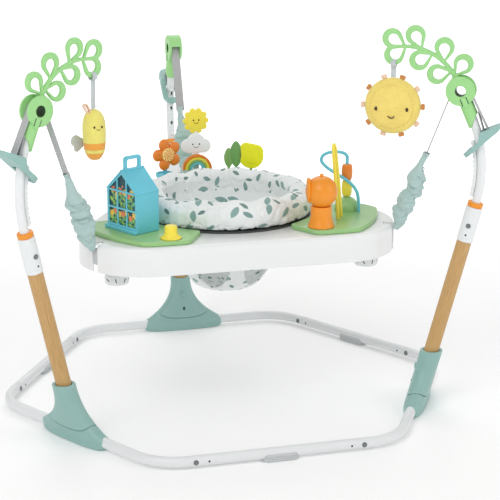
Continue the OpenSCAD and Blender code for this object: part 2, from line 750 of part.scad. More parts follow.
// Spring covers: gathered sleeves round hidden coil springs
COVER_SIDES = 20;
function cover_swell(u) = 0.34 + 0.66 * pow(sin(180 * pow(u, 0.85)), 0.55);
function cover_fold(u, t) = cover_gather * sin(u * 1980 + 60 * sin(2 * t))
    + 0.8 * cover_gather * sin(2 * t + 300 * u) + 0.4 * cover_gather * sin(5 * t - 700 * u);
function cover_ring(u) = [for (j = [0:COVER_SIDES - 1]) let (t = 360 * j / COVER_SIDES,
    r = cover_r * cover_swell(u) + cover_fold(u, t) * (cover_swell(u) - 0.3))
    [r * cos(t), r * sin(t), cover_len * u]];
module cover_frame() translate([clip_at.x, 0, clip_at.y]) rotate([0, 90 - drop_angle, 0])
    translate([0, 0, cover_start])
    children();
spring_low = (cover_len - spring_len) * 0.44;
module cover(a) {
    steps = 30;
    color(MINT) leg(a) cover_frame() difference() {
        skin([for (i = [0:steps]) cover_ring(i / steps)], [0, 0, 0], [0, 0, cover_len]);
        translate([0, 0, spring_low - soft_gap])
            cylinder(r = spring_r + soft_gap, h = spring_len + 2 * soft_gap);
    }
}
module springs() {
    color(GREY) for (a = LEGS) leg(a) cover_frame() translate([0, 0, spring_low]) difference() {
        cylinder(r = spring_r, h = spring_len);
        translate([0, 0, -eps]) cylinder(r = spring_r - spring_wire, h = spring_len + 2 * eps);
    }
}

// Tray: a rounded three-cornered shell with a seat hole, strap notches and leg sockets below
CORNER_STEPS = 24;
module tray_outline(inset) {
    polygon([for (a = [BACK, LEFT, RIGHT], i = [0:CORNER_STEPS]) let (t = a - 60 + 120 * i / CORNER_STEPS)
             corner_d * [cos(a), sin(a)] + (corner_r - inset) * [cos(t), sin(t)]]);
}
EDGE_STEPS = 4;
module tray() {
    color(WHITE) difference() {
        union() {
            difference() {
                for (i = [0:EDGE_STEPS]) let (a = 90 * i / EDGE_STEPS) translate([0, 0, tray_low])
                    linear_extrude(tray_h - edge_r * (1 - sin(a))) tray_outline(edge_r * (1 - cos(a)));
                translate([0, 0, tray_low - eps]) linear_extrude(tray_h - edge_r) tray_outline(tray_wall);
                translate([0, 0, tray_low - eps]) linear_extrude(tray_h - tray_wall + eps)
                    tray_outline(edge_r + tray_wall);
            }
            translate([0, 0, tray_top - ring_drop])
                cylinder(r = hole_r + lip_t, h = ring_drop - tray_wall / 2);
        }
        translate([0, 0, tray_low - eps]) cylinder(r = hole_r, h = 2 * tray_h);
        for (a = LEGS) leg(a) translate([corner_d + corner_r - 22, -notch_w / 2, tray_low - eps])
            cube([3 * notch_w, notch_w, tray_h + 2 * eps]);
    }
}
module leg_socket_frame() translate([leg_socket_r, 0, deck_low - fit_gap]) rotate([180, 0, 0]) children();
module tray_sockets() {
    depth = tray_h - tray_wall + leg_socket_drop;
    color(WHITE) for (a = LEGS) leg(a) leg_socket_frame() difference() {
        cylinder(d = leg_socket_od, h = depth);
        translate([0, 0, depth - leg_bore_deep]) cylinder(r = leg_bore_r, h = 2 * leg_bore_deep);
    }
}
module strap_clips() {
    clip_w = notch_w - 2 * fit_gap;
    clip_t = 17;
    color(GREY) for (a = LEGS) leg(a) difference() {
        translate([clip_r - clip_t - 2, -clip_w / 2, clip_z - 22]) cube([clip_t, clip_w, 32]);
        cover_frame() translate([0, 0, -soft_gap]) cylinder(r = cover_r, h = cover_len);
    }
}

// Toy mats with the bead hill and a well for the push button
module mat_outline(from, to) {
    far = 2 * corner_d;
    intersection() {
        difference() {
            tray_outline(mat_inset);
            circle(r = mat_in_r);
        }
        circle(r = corner_d + corner_r - mat_tip, $fn = 120);
        polygon([[0, 0], for (i = [0:4]) let (a = from + (to - from) * i / 4) far * [cos(a), sin(a)]]);
    }
}
module toy_mats() {
    color(GREEN) difference() {
        union() {
            for (span = [[LEFT - 22, LEFT + 31], [RIGHT - 31, RIGHT + 24], [BACK - 40, BACK + 30]])
                translate([0, 0, tray_top + fit_gap]) linear_extrude(mat_t - fit_gap)
                    mat_outline(span[0], span[1]);
            place(hill_at) translate([0, 0, mat_top - eps]) hill();
            tulip_lugs();
        }
        place(button_at) translate([0, 0, mat_top - button_travel - 2])
            cylinder(r = button_flare_r + run_gap, h = 2 * mat_t);
    }
}
module hill() {
    cap_r = (hill_r * hill_r + hill_h * hill_h) / (2 * hill_h);
    rotate_extrude() intersection() {
        translate([0, hill_h + eps - cap_r]) circle(r = cap_r);
        square([2 * cap_r, hill_h + eps]);
    }
}

// House: a gabled shell with window bars, a ledge and a carry handle
module gable(inset) {
    w = house_w / 2 - inset;
    polygon([[-w, 0], [w, 0], [w, eave_h], [0, ridge_h - inset * 1.4], [-w, eave_h]]);
}
PANES = [3, 2];
sill_h = 12;
pane_w = (house_w - 2 * (house_wall + 3) - (PANES.x - 1) * bar_w) / PANES.x;
pane_h = (eave_h - sill_h - PANES.y * bar_w) / PANES.y;
module panes() {
    for (i = [0:PANES.x - 1], j = [0:PANES.y - 1])
        translate([(i - (PANES.x - 1) / 2) * (pane_w + bar_w) - pane_w / 2, sill_h + j * (pane_h + bar_w)])
            square([pane_w, pane_h]);
    intersection() {
        gable(house_wall + 4);
        for (i = [0:PANES.x - 1]) translate([(i - (PANES.x - 1) / 2) * (pane_w + bar_w) - pane_w / 2, eave_h])
            square([pane_w, ridge_h - eave_h]);
    }
}
picture_t = 1.5;
// Front of the house faces outwards; x of the outline runs along the tray
module house_frame() place(house_at) translate([0, 0, mat_top + fit_gap]) rotate([90, 0, 90]) children();
module house() {
    handle_w = 44;
    handle_t = 8;
    handle_band = 7;
    ledge = 7;
    color(BLUE) house_frame() {
        difference() {
            translate([0, 0, -house_d / 2]) linear_extrude(house_d) gable(0);
            translate([0, -eps, -house_d / 2 + house_wall]) linear_extrude(house_d - 2 * house_wall)
                difference() {
                gable(house_wall);
                translate([-house_w, ridge_h - handle_t]) square([2 * house_w, handle_t]);
            }
            translate([0, 0, house_d / 2 - 2 * house_wall]) linear_extrude(4 * house_wall) panes();
        }
        translate([-house_w / 2 - 2, 0, house_d / 2 - eps]) cube([house_w + 4, 8, ledge]);
        translate([0, ridge_h - 3, 0]) rotate([0, 90, 0]) linear_extrude(handle_t, center = true)
            difference() {
            union() {
                translate([-handle_w / 2, 0]) square([handle_w, handle_h - handle_band]);
                translate([-handle_w / 2 + handle_band, 0]) square([handle_w - 2 * handle_band, handle_h]);
                for (s = [-1, 1]) translate([s * (handle_w / 2 - handle_band), handle_h - handle_band])
                    circle(r = handle_band);
            }
            translate([-handle_w / 2 + handle_band, 3 + 1])
                square([handle_w - 2 * handle_band, handle_h - handle_band - 4]);
        }
    }
}
module house_picture() {
    color([0.16, 0.42, 0.46]) house_frame()
        translate([0, 0, house_d / 2 - house_wall - picture_t - fit_gap])
        linear_extrude(picture_t) intersection() {
            gable(house_wall + fit_gap + 0.6);
            translate([-house_w, fit_gap]) square([2 * house_w, eave_h + (ridge_h - eave_h) * 0.7]);
        }
}

// Rainbow with a rocking cloud and sun on a pin behind it
rainbow_t = 12;
rainbow_bar = 40;
rainbow_base = 30;
rock_z = mat_top + rainbow_base / 2;
rock_plate_t = 7;
rock_pin_r = 3;
// Outlines of the upright toys stand across the radius, and their thickness runs outwards
module across_frame(at, z) place(at) translate([0, 0, z]) rotate([90, 0, 90]) children();
module rainbow() {
    pin_len = run_gap + rock_plate_t + 2;
    color(ORANGE) {
        across_frame(rainbow_at, mat_top + fit_gap) linear_extrude(rainbow_t, center = true) {
            translate([-rainbow_bar / 2, 0]) square([rainbow_bar, rainbow_base]);
            translate([0, rainbow_base]) intersection() {
                difference() {
                    circle(r = rainbow_r);
                    circle(r = rainbow_r - 4 * band_w);
                }
                translate([-rainbow_r, -eps]) square([2 * rainbow_r, 2 * rainbow_r]);
            }
        }
        across_frame(rainbow_at, rock_z) cylinder(r = rock_pin_r, h = rainbow_t / 2 + pin_len);
    }
}
module cloud_sun() {
    stem_half = 7;
    cloud_low = 21;
    cloud_high = 27;
    cloud_z = rainbow_r + rainbow_base / 2 + cloud_low + 1.5;
    sun_z = cloud_z + cloud_high + small_sun_r;
    petals = 10;
    color(WHITE) across_frame(rainbow_at, rock_z) translate([0, 0, rainbow_t / 2 + run_gap])
        linear_extrude(rock_plate_t)
        difference() {
            union() {
                circle(r = stem_half);
                translate([-stem_half, 0]) square([2 * stem_half, sun_z]);
                for (c = [[0, 5, 22], [-19, -4, 17], [19, -3, 17]]) translate([c.x, cloud_z + c.y])
                    circle(r = c.z);
                translate([-20, cloud_z - cloud_low]) square([40, 14]);
                translate([0, sun_z]) {
                    circle(r = small_sun_r - 4);
                    for (i = [1:petals]) rotate(i * 360 / petals) translate([small_sun_r - 6, 0])
                        circle(r = 7);
                }
            }
            circle(r = rock_pin_r + bore_gap);
        }
}

// Bead wires: hand-laid routes, given as along the loop, across it and up from the mat
BLUE_ROUTE = [[0, 0, 24], [0, 0, 70], [0, 0, 114], [0, 0, 118], [-5, 0, 125], [-18, 0, 129], [-38, 0, 128],
              [-53, 1, 121], [-56, 3, 108], [-42, 7, 94], [-18, 13, 80], [8, 19, 63], [22, 21, 44],
              [26, 21, 20], [26, 21, 10], [26, 21, 0]];
YELLOW_ROUTE = [[-12, 0, 0], [-11, -5, 60], [-9, -11, 120], [-7, -14, 150], [0, -15, 160], [7, -14, 150],
                [9, -11, 120], [11, -5, 60], [12, 0, 0]];
function outwards(points) = [for (p = points) [p.x, -p.y, p.z + mat_top + fit_gap]];
function along(points) = [for (p = points) [p.y, p.x, p.z + mat_top + fit_gap]];
module wire_blue() {
    color(BLUE) place(hill_at) difference() {
        wire(smooth(outwards(BLUE_ROUTE), 3), wire_r, [0, 1, 0]);
        translate([0, 0, mat_top - eps]) cylinder(r = 2 * wire_r, h = hill_h + eps + fit_gap);
    }
}
module wire_yellow() {
    color(YELLOW) place(loop_at) wire(smooth(along(YELLOW_ROUTE), 3), wire_r, [1, 0, 0]);
}
bead_h = 36;
bead_low = mat_top + hill_h + soft_gap + fit_gap;
// Barrel-shaped bead, bored for the wire
module bead(low) {
    swell_r = bead_r + pow(bead_h / 2, 2) / (2 * bead_r);
    translate([0, 0, low]) difference() {
        rotate_extrude() intersection() {
            translate([bead_r - swell_r, bead_h / 2]) circle(r = swell_r);
            square([bead_r, bead_h]);
        }
        translate([0, 0, -eps]) cylinder(r = wire_r + bore_gap, h = bead_h + 2 * eps);
    }
}
module bead_yellow() color(YELLOW) place(hill_at) bead(bead_low);
module bead_orange() color(ORANGE) place(hill_at) bead(bead_low + bead_h + soft_gap);

// Flower on its pot
flower_z = tray_top + flower_lift;
pot_h = 30;
pot_r = 20;
stalk_r = 5;
pin_r = 4;
flower_t = 9;
flower_out = 8;
module flower_pot() {
    color(BLUE) place(pot_at) {
        translate([0, 0, mat_top + fit_gap]) cylinder(r1 = pot_r - 3, r2 = pot_r, h = pot_h);
        translate([0, 0, mat_top + pot_h - eps])
            cylinder(r = stalk_r, h = flower_z - mat_top - pot_h + 2 * eps);
        translate([stalk_r, 0, flower_z]) rotate([0, -90, 0])
            cylinder(r = pin_r, h = stalk_r + flower_out + flower_t);
    }
}
module flower() {
    petals = 5;
    petal_at = 24;
    boss_r = 15;
    color(ORANGE) place(pot_at) translate([-flower_out, 0, flower_z]) rotate([0, -90, 0]) difference() {
        union() {
            linear_extrude(flower_t - 2) {
                circle(r = petal_at);
                for (i = [1:petals]) rotate(i * 360 / petals) translate([petal_at, 0]) circle(r = petal_r);
            }
            cylinder(r = boss_r, h = flower_t);
        }
        translate([0, 0, -eps]) cylinder(r = pin_r + bore_gap, h = 2 * flower_t);
    }
}

// Push button with a flared skirt
module push_button() {
    button_h = 28;
    flare_h = 12;
    rim_h = 3;
    color(YELLOW) place(button_at) translate([0, 0, mat_top - 1]) {
        cylinder(r = button_flare_r, h = rim_h);
        translate([0, 0, rim_h]) cylinder(r1 = button_flare_r, r2 = button_r, h = flare_h - rim_h);
        cylinder(r = button_r, h = button_h);
    }
}

// Tulip and two leaves on one hinge pin, held by two lugs on the back mat
tulip_z = mat_top + 26;
tulip_pin_r = 3;
lug_at = 12;
lug_w = 6;
lug_d = 8;
module tulip_lugs() {
    across_frame(tulip_at, mat_top - eps) for (s = [-1, 1]) translate([s * lug_at, 0, 0]) difference() {
        translate([-lug_w / 2, 0, -lug_d / 2]) cube([lug_w, tulip_z - mat_top + tulip_pin_r + 2, lug_d]);
        translate([0, tulip_z - mat_top + eps, 0]) rotate([0, 90, 0])
            cylinder(r = tulip_pin_r + bore_gap, h = 2 * lug_w, center = true);
    }
}
module tulip() {
    page_t = 5;
    bloom_r = 30;
    bloom_z = bloom_r + 8;
    stem_half = 3;
    leaves = [[36, 76], [54, 58]];
    color(YELLOW) across_frame(tulip_at, tulip_z) {
        translate([-lug_at - lug_w, 0, 0]) rotate([0, 90, 0])
            cylinder(r = tulip_pin_r, h = lug_at + lug_w + leaves[1][0] + 4);
        translate([0, 0, -page_t / 2]) linear_extrude(page_t) {
            translate([-stem_half, 0]) square([2 * stem_half, bloom_z]);
            translate([0, bloom_z]) circle(r = bloom_r);
            translate([-bloom_r, bloom_z]) square([2 * bloom_r, tulip_h - bloom_z - bloom_r / 2]);
            for (x = [-2, 0, 2] * bloom_r / 3) translate([x, tulip_h - bloom_r / 2])
                polygon([[-bloom_r / 3, -eps], [bloom_r / 3, -eps], [0, bloom_r / 2]]);
            for (l = leaves) translate([l[0], 0]) {
                translate([-stem_half, 0]) square([2 * stem_half, 16]);
                translate([0, l[1] * 0.56]) scale(l[1] / 2) intersection() {
                    translate([-0.6, 0]) circle(r = 1);
                    translate([0.6, 0]) circle(r = 1);
                }
            }
        }
    }
}

// Spinner: a flared pot with a round drum that turns on its pin
pot_rise = 46;
spinner_z = mat_top + pot_rise;
spin_pin_r = 5;
spin_pin_h = 16;
module spinner_base() {
    foot_rad = 28;
    neck_rad = 22;
    color(ORANGE) place(spinner_at) {
        translate([0, 0, mat_top + fit_gap])
            cylinder(r1 = foot_rad, r2 = neck_rad, h = pot_rise - run_gap - fit_gap);
        translate([0, 0, spinner_z - run_gap - eps])
            cylinder(r = spin_pin_r, h = spin_pin_h + run_gap + eps);
    }
}
module spinner() {
    nub_r = 4;
    boss_r = 16;
    boss_h = 6;
    brim_t = 7;
    brim_turn = -140;
    flat = 2.5;
    color(ORANGE) place(spinner_at) translate([0, 0, spinner_z]) difference() {
        union() {
            rotate_extrude() intersection() {
                translate([0, spinner_r]) circle(r = spinner_r);
                translate([0, flat]) square([spinner_r, 2 * (spinner_r - flat)]);
            }
            cylinder(r = boss_r, h = boss_h);
            translate([0, 0, 2 * spinner_r - boss_h]) cylinder(r = nub_r, h = brim_t);
            rotate([0, 0, brim_turn]) translate([spinner_r - 9, 0, spinner_r]) rotate([0, 90, 0])
                cylinder(r = spinner_r - brim_t, h = brim_t);
        }
        translate([0, 0, -eps]) cylinder(r = spin_pin_r + bore_gap, h = spin_pin_h + 2 * eps);
    }
}

// Seat: a hard ring that turns in the tray, a gathered padded rim and a hanging pouch
module seat_ring() {
    color(WHITE) rotate_extrude($fn = 128) {
        translate([seat_inner_r, tray_top - ring_drop])
            square([hole_r - seat_gap - seat_inner_r, flange_low - tray_top + ring_drop + eps]);
        translate([seat_inner_r, flange_low])
            square([seat_flange_r - seat_inner_r, seat_flange_t]);
    }
}
PAD_SIDES = 16;
PAD_STEPS = 72;
function pad_point(a, t) =
    let (q = superellipse(pad_t / 2, pad_h / 2, 2.6, t),
         crown = max(sin(t), 0),
         gather = 2.2 * sin(pad_gathers * a) * max(0, sin(t + 20)),
         crease = 1.1 * sin((2 * pad_gathers + 1) * a + 40) * crown,
         bulge = pad_bulge * (max(cos(t), 0) * (1 - crown) - crown),
         r = pad_mid_r + q.x + bulge + gather + crease)
    [r * cos(a), r * sin(a), pad_low + pad_h / 2 + q.y - 2.4 * crown * (1 + sin(pad_gathers * a + 90))];
module seat_pad() {
    color([0.90, 0.92, 0.91]) ring_skin([for (i = [0:PAD_STEPS - 1]) let (a = -360 * i / PAD_STEPS)
        [for (j = [0:PAD_SIDES - 1]) pad_point(a, 360 * j / PAD_SIDES)]]);
}
POUCH_SIDES = 48;
POUCH_STEPS = 8;
pouch_top_r = seat_inner_r - 2 * soft_gap;
pouch_low = tray_top - pouch_drop;
pouch_rise = 3;
function pouch_r(u, a) = (pouch_top_r - 6) * (0.34 + 0.66 * pow(u, 0.42)) - 7 * pow(1 - u, 2)
    + 4 * (1 - u) * sqrt(u) * sin(8 * a);
function pouch_ring(u, inset) = [for (j = [0:POUCH_SIDES - 1]) let (a = 360 * j / POUCH_SIDES)
    [(pouch_r(u, a) - inset) * cos(a), (pouch_r(u, a) - inset) * sin(a),
     pouch_low + inset * (1 - u) + (pouch_drop + pouch_rise) * u]];
// Leg holes: the cells of the pouch that are left out
hole_turn = 34;
hole_half_turn = 27;
function pouch_open(i, j) =
    let (turn = abs((360 * (j + 0.5) / POUCH_SIDES + 90) % 360), side = turn > 180 ? 360 - turn : turn,
         z = pouch_drop * (i + 0.5) / POUCH_STEPS - leg_hole_r - 10)
    i > 0 && pow((side - hole_turn) / hole_half_turn, 2) + pow(z / leg_hole_r, 2) < 1;
// Double-walled bowl on a grid of cells, closed round its rim, its foot and the open cells
module seat_pouch() {
    n = POUCH_SIDES;
    m = POUCH_STEPS;
    in = (m + 1) * n;
    foot_out = 2 * in;
    foot_in = foot_out + 1;
    points = concat([for (i = [0:m]) each pouch_ring(i / m, 0)],
        [for (i = [0:m]) each pouch_ring(i / m, pouch_t)],
                    [[0, 0, pouch_low], [0, 0, pouch_low + pouch_t]]);
    cells = [for (i = [0:m - 1], j = [0:n - 1]) if (!pouch_open(i, j))
             let (k = (j + 1) % n, a = i * n + j, b = a + n, c = (i + 1) * n + k, d = i * n + k)
             each [[a, b, c], [a, c, d], [in + a, in + c, in + b], [in + a, in + d, in + c]]];
    edges = [for (i = [0:m - 1], j = [0:n - 1]) if (!pouch_open(i, j))
             let (k = (j + 1) % n, a = i * n + j, b = a + n, c = (i + 1) * n + k, d = i * n + k)
             each [if (i == m - 1 || pouch_open(i + 1, j)) [b, c], if (i > 0 && pouch_open(i - 1, j)) [d, a],
                   if (pouch_open(i, (j + n - 1) % n)) [a, b], if (pouch_open(i, k)) [c, d]]];
    walls = [for (e = edges) each [[e[0], in + e[0], in + e[1]], [e[0], in + e[1], e[1]]]];
    feet = [for (j = [0:n - 1]) let (k = (j + 1) % n) each [[foot_out, j, k], [foot_in, in + k, in + j]]];
    color([0.86, 0.89, 0.88]) polyhedron(points, concat(cells, walls, feet));
}

// Hanging toys: each swings on a ribbon looped through the last lower leaf
module toy_frame(a) leg(a) translate([toy_pivot.x, 0, toy_pivot.y]) children();
module ribbon(a, len) {
    color(GREY) toy_frame(a) {
        rotate([0, 90, 0]) difference() {
            cylinder(r = loop_r + ribbon_t, h = ribbon_w, center = true);
            cylinder(r = loop_r, h = 2 * ribbon_w, center = true);
        }
        translate([-ribbon_w / 2, -ribbon_t / 2, -len])
            cube([ribbon_w, ribbon_t, len - loop_r - ribbon_t / 2]);
    }
}
bee_drop = 66;
sun_drop = 30;
module bee_ribbon() ribbon(LEFT, bee_drop);
module sun_ribbon() ribbon(RIGHT, sun_drop);
function bee_radius(u) = bee_r * pow(sin(180 * (0.06 + 0.88 * u)), 0.42) * (1 + 0.06 * sin(360 * u + 200));
module bee_body() {
    steps = 24;
    color(PLUSH) toy_frame(LEFT) translate([0, 0, -bee_drop - soft_gap - bee_len]) rotate_extrude()
        polygon(concat([[0, 0]], [for (i = [0:steps]) [bee_radius(i / steps), bee_len * i / steps]],
            [[0, bee_len]]));
}
module bee_wings() {
    wing_t = 3;
    wing_z = -bee_drop - bee_len * 0.68;
    color(GREY) toy_frame(LEFT) translate([0, -bee_radius(0.48) - soft_gap - wing_t / 2, wing_z])
        upright(wing_t) {
        square([2 * bee_r, 12], center = true);
        for (s = [-1, 1]) {
            translate([s * (bee_r + 4), 6]) circle(r = 12);
            translate([s * (bee_r + 1), -9]) circle(r = 8);
        }
    }
}
sun_mid = -sun_drop - soft_gap - sun_r;
module sun_body() {
    steps = 16;
    color(PLUSH) toy_frame(RIGHT) translate([0, 0, sun_mid]) rotate([90, 0, 0]) rotate_extrude()
        polygon([for (i = [0:steps]) let (t = -90 + 180 * i / steps)
                 [sun_r * pow(cos(t), 0.7), sun_swell * sin(t)]]);
}
module sun_rays() {
    rays = 10;
    ray_w = 13;
    ray_len = 8;
    ray_t = 3;
    color(ORANGE) toy_frame(RIGHT) translate([0, 0, sun_mid]) for (i = [0:rays - 1])
        rotate([0, 18 + i * 360 / rays, 0])
        translate([-ray_w / 2, -ray_t / 2, sun_r + soft_gap]) cube([ray_w, ray_t, ray_len]);
}

base_bend(LEFT);  // base_bend_left
base_bend(RIGHT);  // base_bend_right
base_bend(BACK);  // base_bend_back
base_bars();
base_pads();
snap_buttons();
foot(LEFT);  // foot_left
foot(RIGHT);  // foot_right
foot(BACK);  // foot_back
foot_sockets();
foot_screws();
post(LEFT);  // post_left
post(RIGHT);  // post_right
post(BACK);  // post_back
post_collars();
post_rings();
risers();
height_racks();
head(LEFT);  // head_left
head(RIGHT);  // head_right
head(BACK);  // head_back
branch(LEFT);  // branch_left
branch(RIGHT);  // branch_right
strap_wraps();
strap_drops();
strap_tails();
adjuster(LEFT);  // adjuster_left
adjuster(RIGHT);  // adjuster_right
adjuster(BACK);  // adjuster_back
cover(LEFT);  // cover_left
cover(RIGHT);  // cover_right
cover(BACK);  // cover_back
springs();
tray();
tray_sockets();
strap_clips();
toy_mats();
house();
house_picture();
rainbow();
wire_blue();
wire_yellow();
flower_pot();
seat_ring();
seat_pad();
seat_pouch();
flower();
push_button();
cloud_sun();
tulip();
spinner_base();
spinner();
bead_orange();
bead_yellow();
bee_body();
bee_wings();
bee_ribbon();
sun_body();
sun_rays();
sun_ribbon();
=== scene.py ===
"""Looks of the baby jumper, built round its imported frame.

Meshes are drawn in millimetres, in the frame of the leg or toy that they belong to, and stored in metres.
"""
import json
import logging
import math
from dataclasses import dataclass
from enum import Enum
from typing import Any, Callable, Optional, Sequence

import bmesh
import bpy
from mathutils import Matrix, Vector, noise

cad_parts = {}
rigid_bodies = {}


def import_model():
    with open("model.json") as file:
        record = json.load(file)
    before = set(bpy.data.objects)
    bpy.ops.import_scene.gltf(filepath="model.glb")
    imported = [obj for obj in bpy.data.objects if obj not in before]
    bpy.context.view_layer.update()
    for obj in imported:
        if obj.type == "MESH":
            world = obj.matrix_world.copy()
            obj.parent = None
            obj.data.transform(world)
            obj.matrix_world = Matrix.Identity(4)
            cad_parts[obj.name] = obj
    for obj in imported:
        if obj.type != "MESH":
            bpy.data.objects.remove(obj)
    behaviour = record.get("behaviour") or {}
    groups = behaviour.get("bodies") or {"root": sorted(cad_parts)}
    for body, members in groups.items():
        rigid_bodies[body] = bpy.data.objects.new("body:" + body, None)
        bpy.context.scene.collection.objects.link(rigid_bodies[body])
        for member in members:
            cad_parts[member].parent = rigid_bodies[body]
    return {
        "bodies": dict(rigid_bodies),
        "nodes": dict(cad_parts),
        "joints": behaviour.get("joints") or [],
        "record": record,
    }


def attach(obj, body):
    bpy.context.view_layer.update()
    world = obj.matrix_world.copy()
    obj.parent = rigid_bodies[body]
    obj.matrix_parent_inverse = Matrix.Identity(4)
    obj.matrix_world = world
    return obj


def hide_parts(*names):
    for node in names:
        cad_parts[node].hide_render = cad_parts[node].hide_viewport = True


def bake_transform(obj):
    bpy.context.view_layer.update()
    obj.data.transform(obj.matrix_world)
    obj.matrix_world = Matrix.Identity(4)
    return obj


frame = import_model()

LOG = logging.getLogger("jumper")
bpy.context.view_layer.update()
MM = 0.001
UV_UNIT = 0.01
HARD_CREASE, SOFT_CREASE = 38.0, 80.0
AXIS_R = 1e-4
PUFF_STEPS = 20
STITCH_SIZES = {"Pitch": 4.2 * MM, "Length": 3.0 * MM, "Thread": 0.45 * MM}
Point = tuple[float, float]
Radius = float | Callable[[float], float]

# Outlines drawn as (x, y) and thickened along z are stood up by these two
UPRIGHT = Matrix(((1, 0, 0, 0), (0, 0, -1, 0), (0, 1, 0, 0), (0, 0, 0, 1)))
ACROSS = Matrix(((0, 0, 1, 0), (1, 0, 0, 0), (0, 1, 0, 0), (0, 0, 0, 1)))
STILL = Matrix.Identity(4)


class Leg(Enum):
    """The three legs, by their bearing round the seat in degrees."""

    LEFT = 210
    RIGHT = 330
    BACK = 90

    @property
    def key(self) -> str:
        """Name of the leg as the node names have it."""
        return self.name.lower()

    @property
    def turn(self) -> Matrix:
        """Turn from the leg's own frame to the whole frame."""
        return turned(self.value)


def rad(degrees: float) -> float:
    """Degrees as radians."""
    return math.radians(degrees)


def cos(degrees: float) -> float:
    """Cosine of an angle in degrees."""
    return math.cos(rad(degrees))


def sin(degrees: float) -> float:
    """Sine of an angle in degrees."""
    return math.sin(rad(degrees))


def turned(degrees: float, axis: str = "Z") -> Matrix:
    """Turn about one of the main axes."""
    return Matrix.Rotation(rad(degrees), 4, axis)


def moved(x: float, y: float, z: float) -> Matrix:
    """Shift by a distance along each axis."""
    return Matrix.Translation((x, y, z))


def stood(p: Sequence[float]) -> Matrix:
    """Frame at a point of a leg's plane."""
    return moved(p[0], 0, p[1])


def angle_of(way: Vector) -> float:
    """Angle of a way in a leg's plane, in degrees."""
    return math.degrees(math.atan2(way.y, way.x))


def placed(at: Point, z: float = 0.0) -> Matrix:
    """Frame of a toy at a bearing and a distance from the tray's centre."""
    return turned(at[0]) @ moved(at[1], 0, z)


def arc(mid: Point, r: float, start: float, end: float, steps: int) -> list[Point]:
    """Points along an arc.

    Args:
        mid: Centre of the arc.
        r: Radius of the arc.
        start: First angle in degrees.
        end: Last angle in degrees.
        steps: Number of steps between them.

    Returns:
        The points, both ends included.
    """
    turns = [start + (end - start) * i / steps for i in range(steps + 1)]
    return [(mid[0] + r * cos(t), mid[1] + r * sin(t)) for t in turns]


def rounded_box(w: float, h: float, r: float, mid: Point = (0, 0), steps: int = 6) -> list[Point]:
    """Outline of a rectangle with round corners, about its middle.

    Args:
        w: Width.
        h: Height.
        r: Radius of the corners.
        mid: Middle of the rectangle.
        steps: Steps of each corner.

    Returns:
        The outline's points.
    """
    corners = [(1, 1, 0), (-1, 1, 90), (-1, -1, 180), (1, -1, 270)]
    return [
        p
        for sx, sy, a in corners
        for p in arc((mid[0] + sx * (w / 2 - r), mid[1] + sy * (h / 2 - r)), r, a, a + 90, steps)
    ]


def circle(r: float, z: float, n: int) -> list[Vector]:
    """Ring of points round the z axis."""
    return [Vector((r * cos(360 * j / n), r * sin(360 * j / n), z)) for j in range(n)]


def smooth_path(points: Sequence[Vector], steps: int) -> list[Vector]:
    """Smooth curve through a list of points.

    Args:
        points: Points that the curve passes through.
        steps: Number of steps between two of them.

    Returns:
        The curve's points.
    """
    last = len(points) - 1
    path = []
    for i in range(last):
        a, b = points[max(i - 1, 0)], points[i]
        c, d = points[i + 1], points[min(i + 2, last)]
        for k in range(steps):
            t = k / steps
            square, cube = 2 * a - 5 * b + 4 * c - d, 3 * b - a - 3 * c + d
            path.append(0.5 * (2 * b + (c - a) * t + square * t * t + cube * t**3))
    return path + [points[last]]


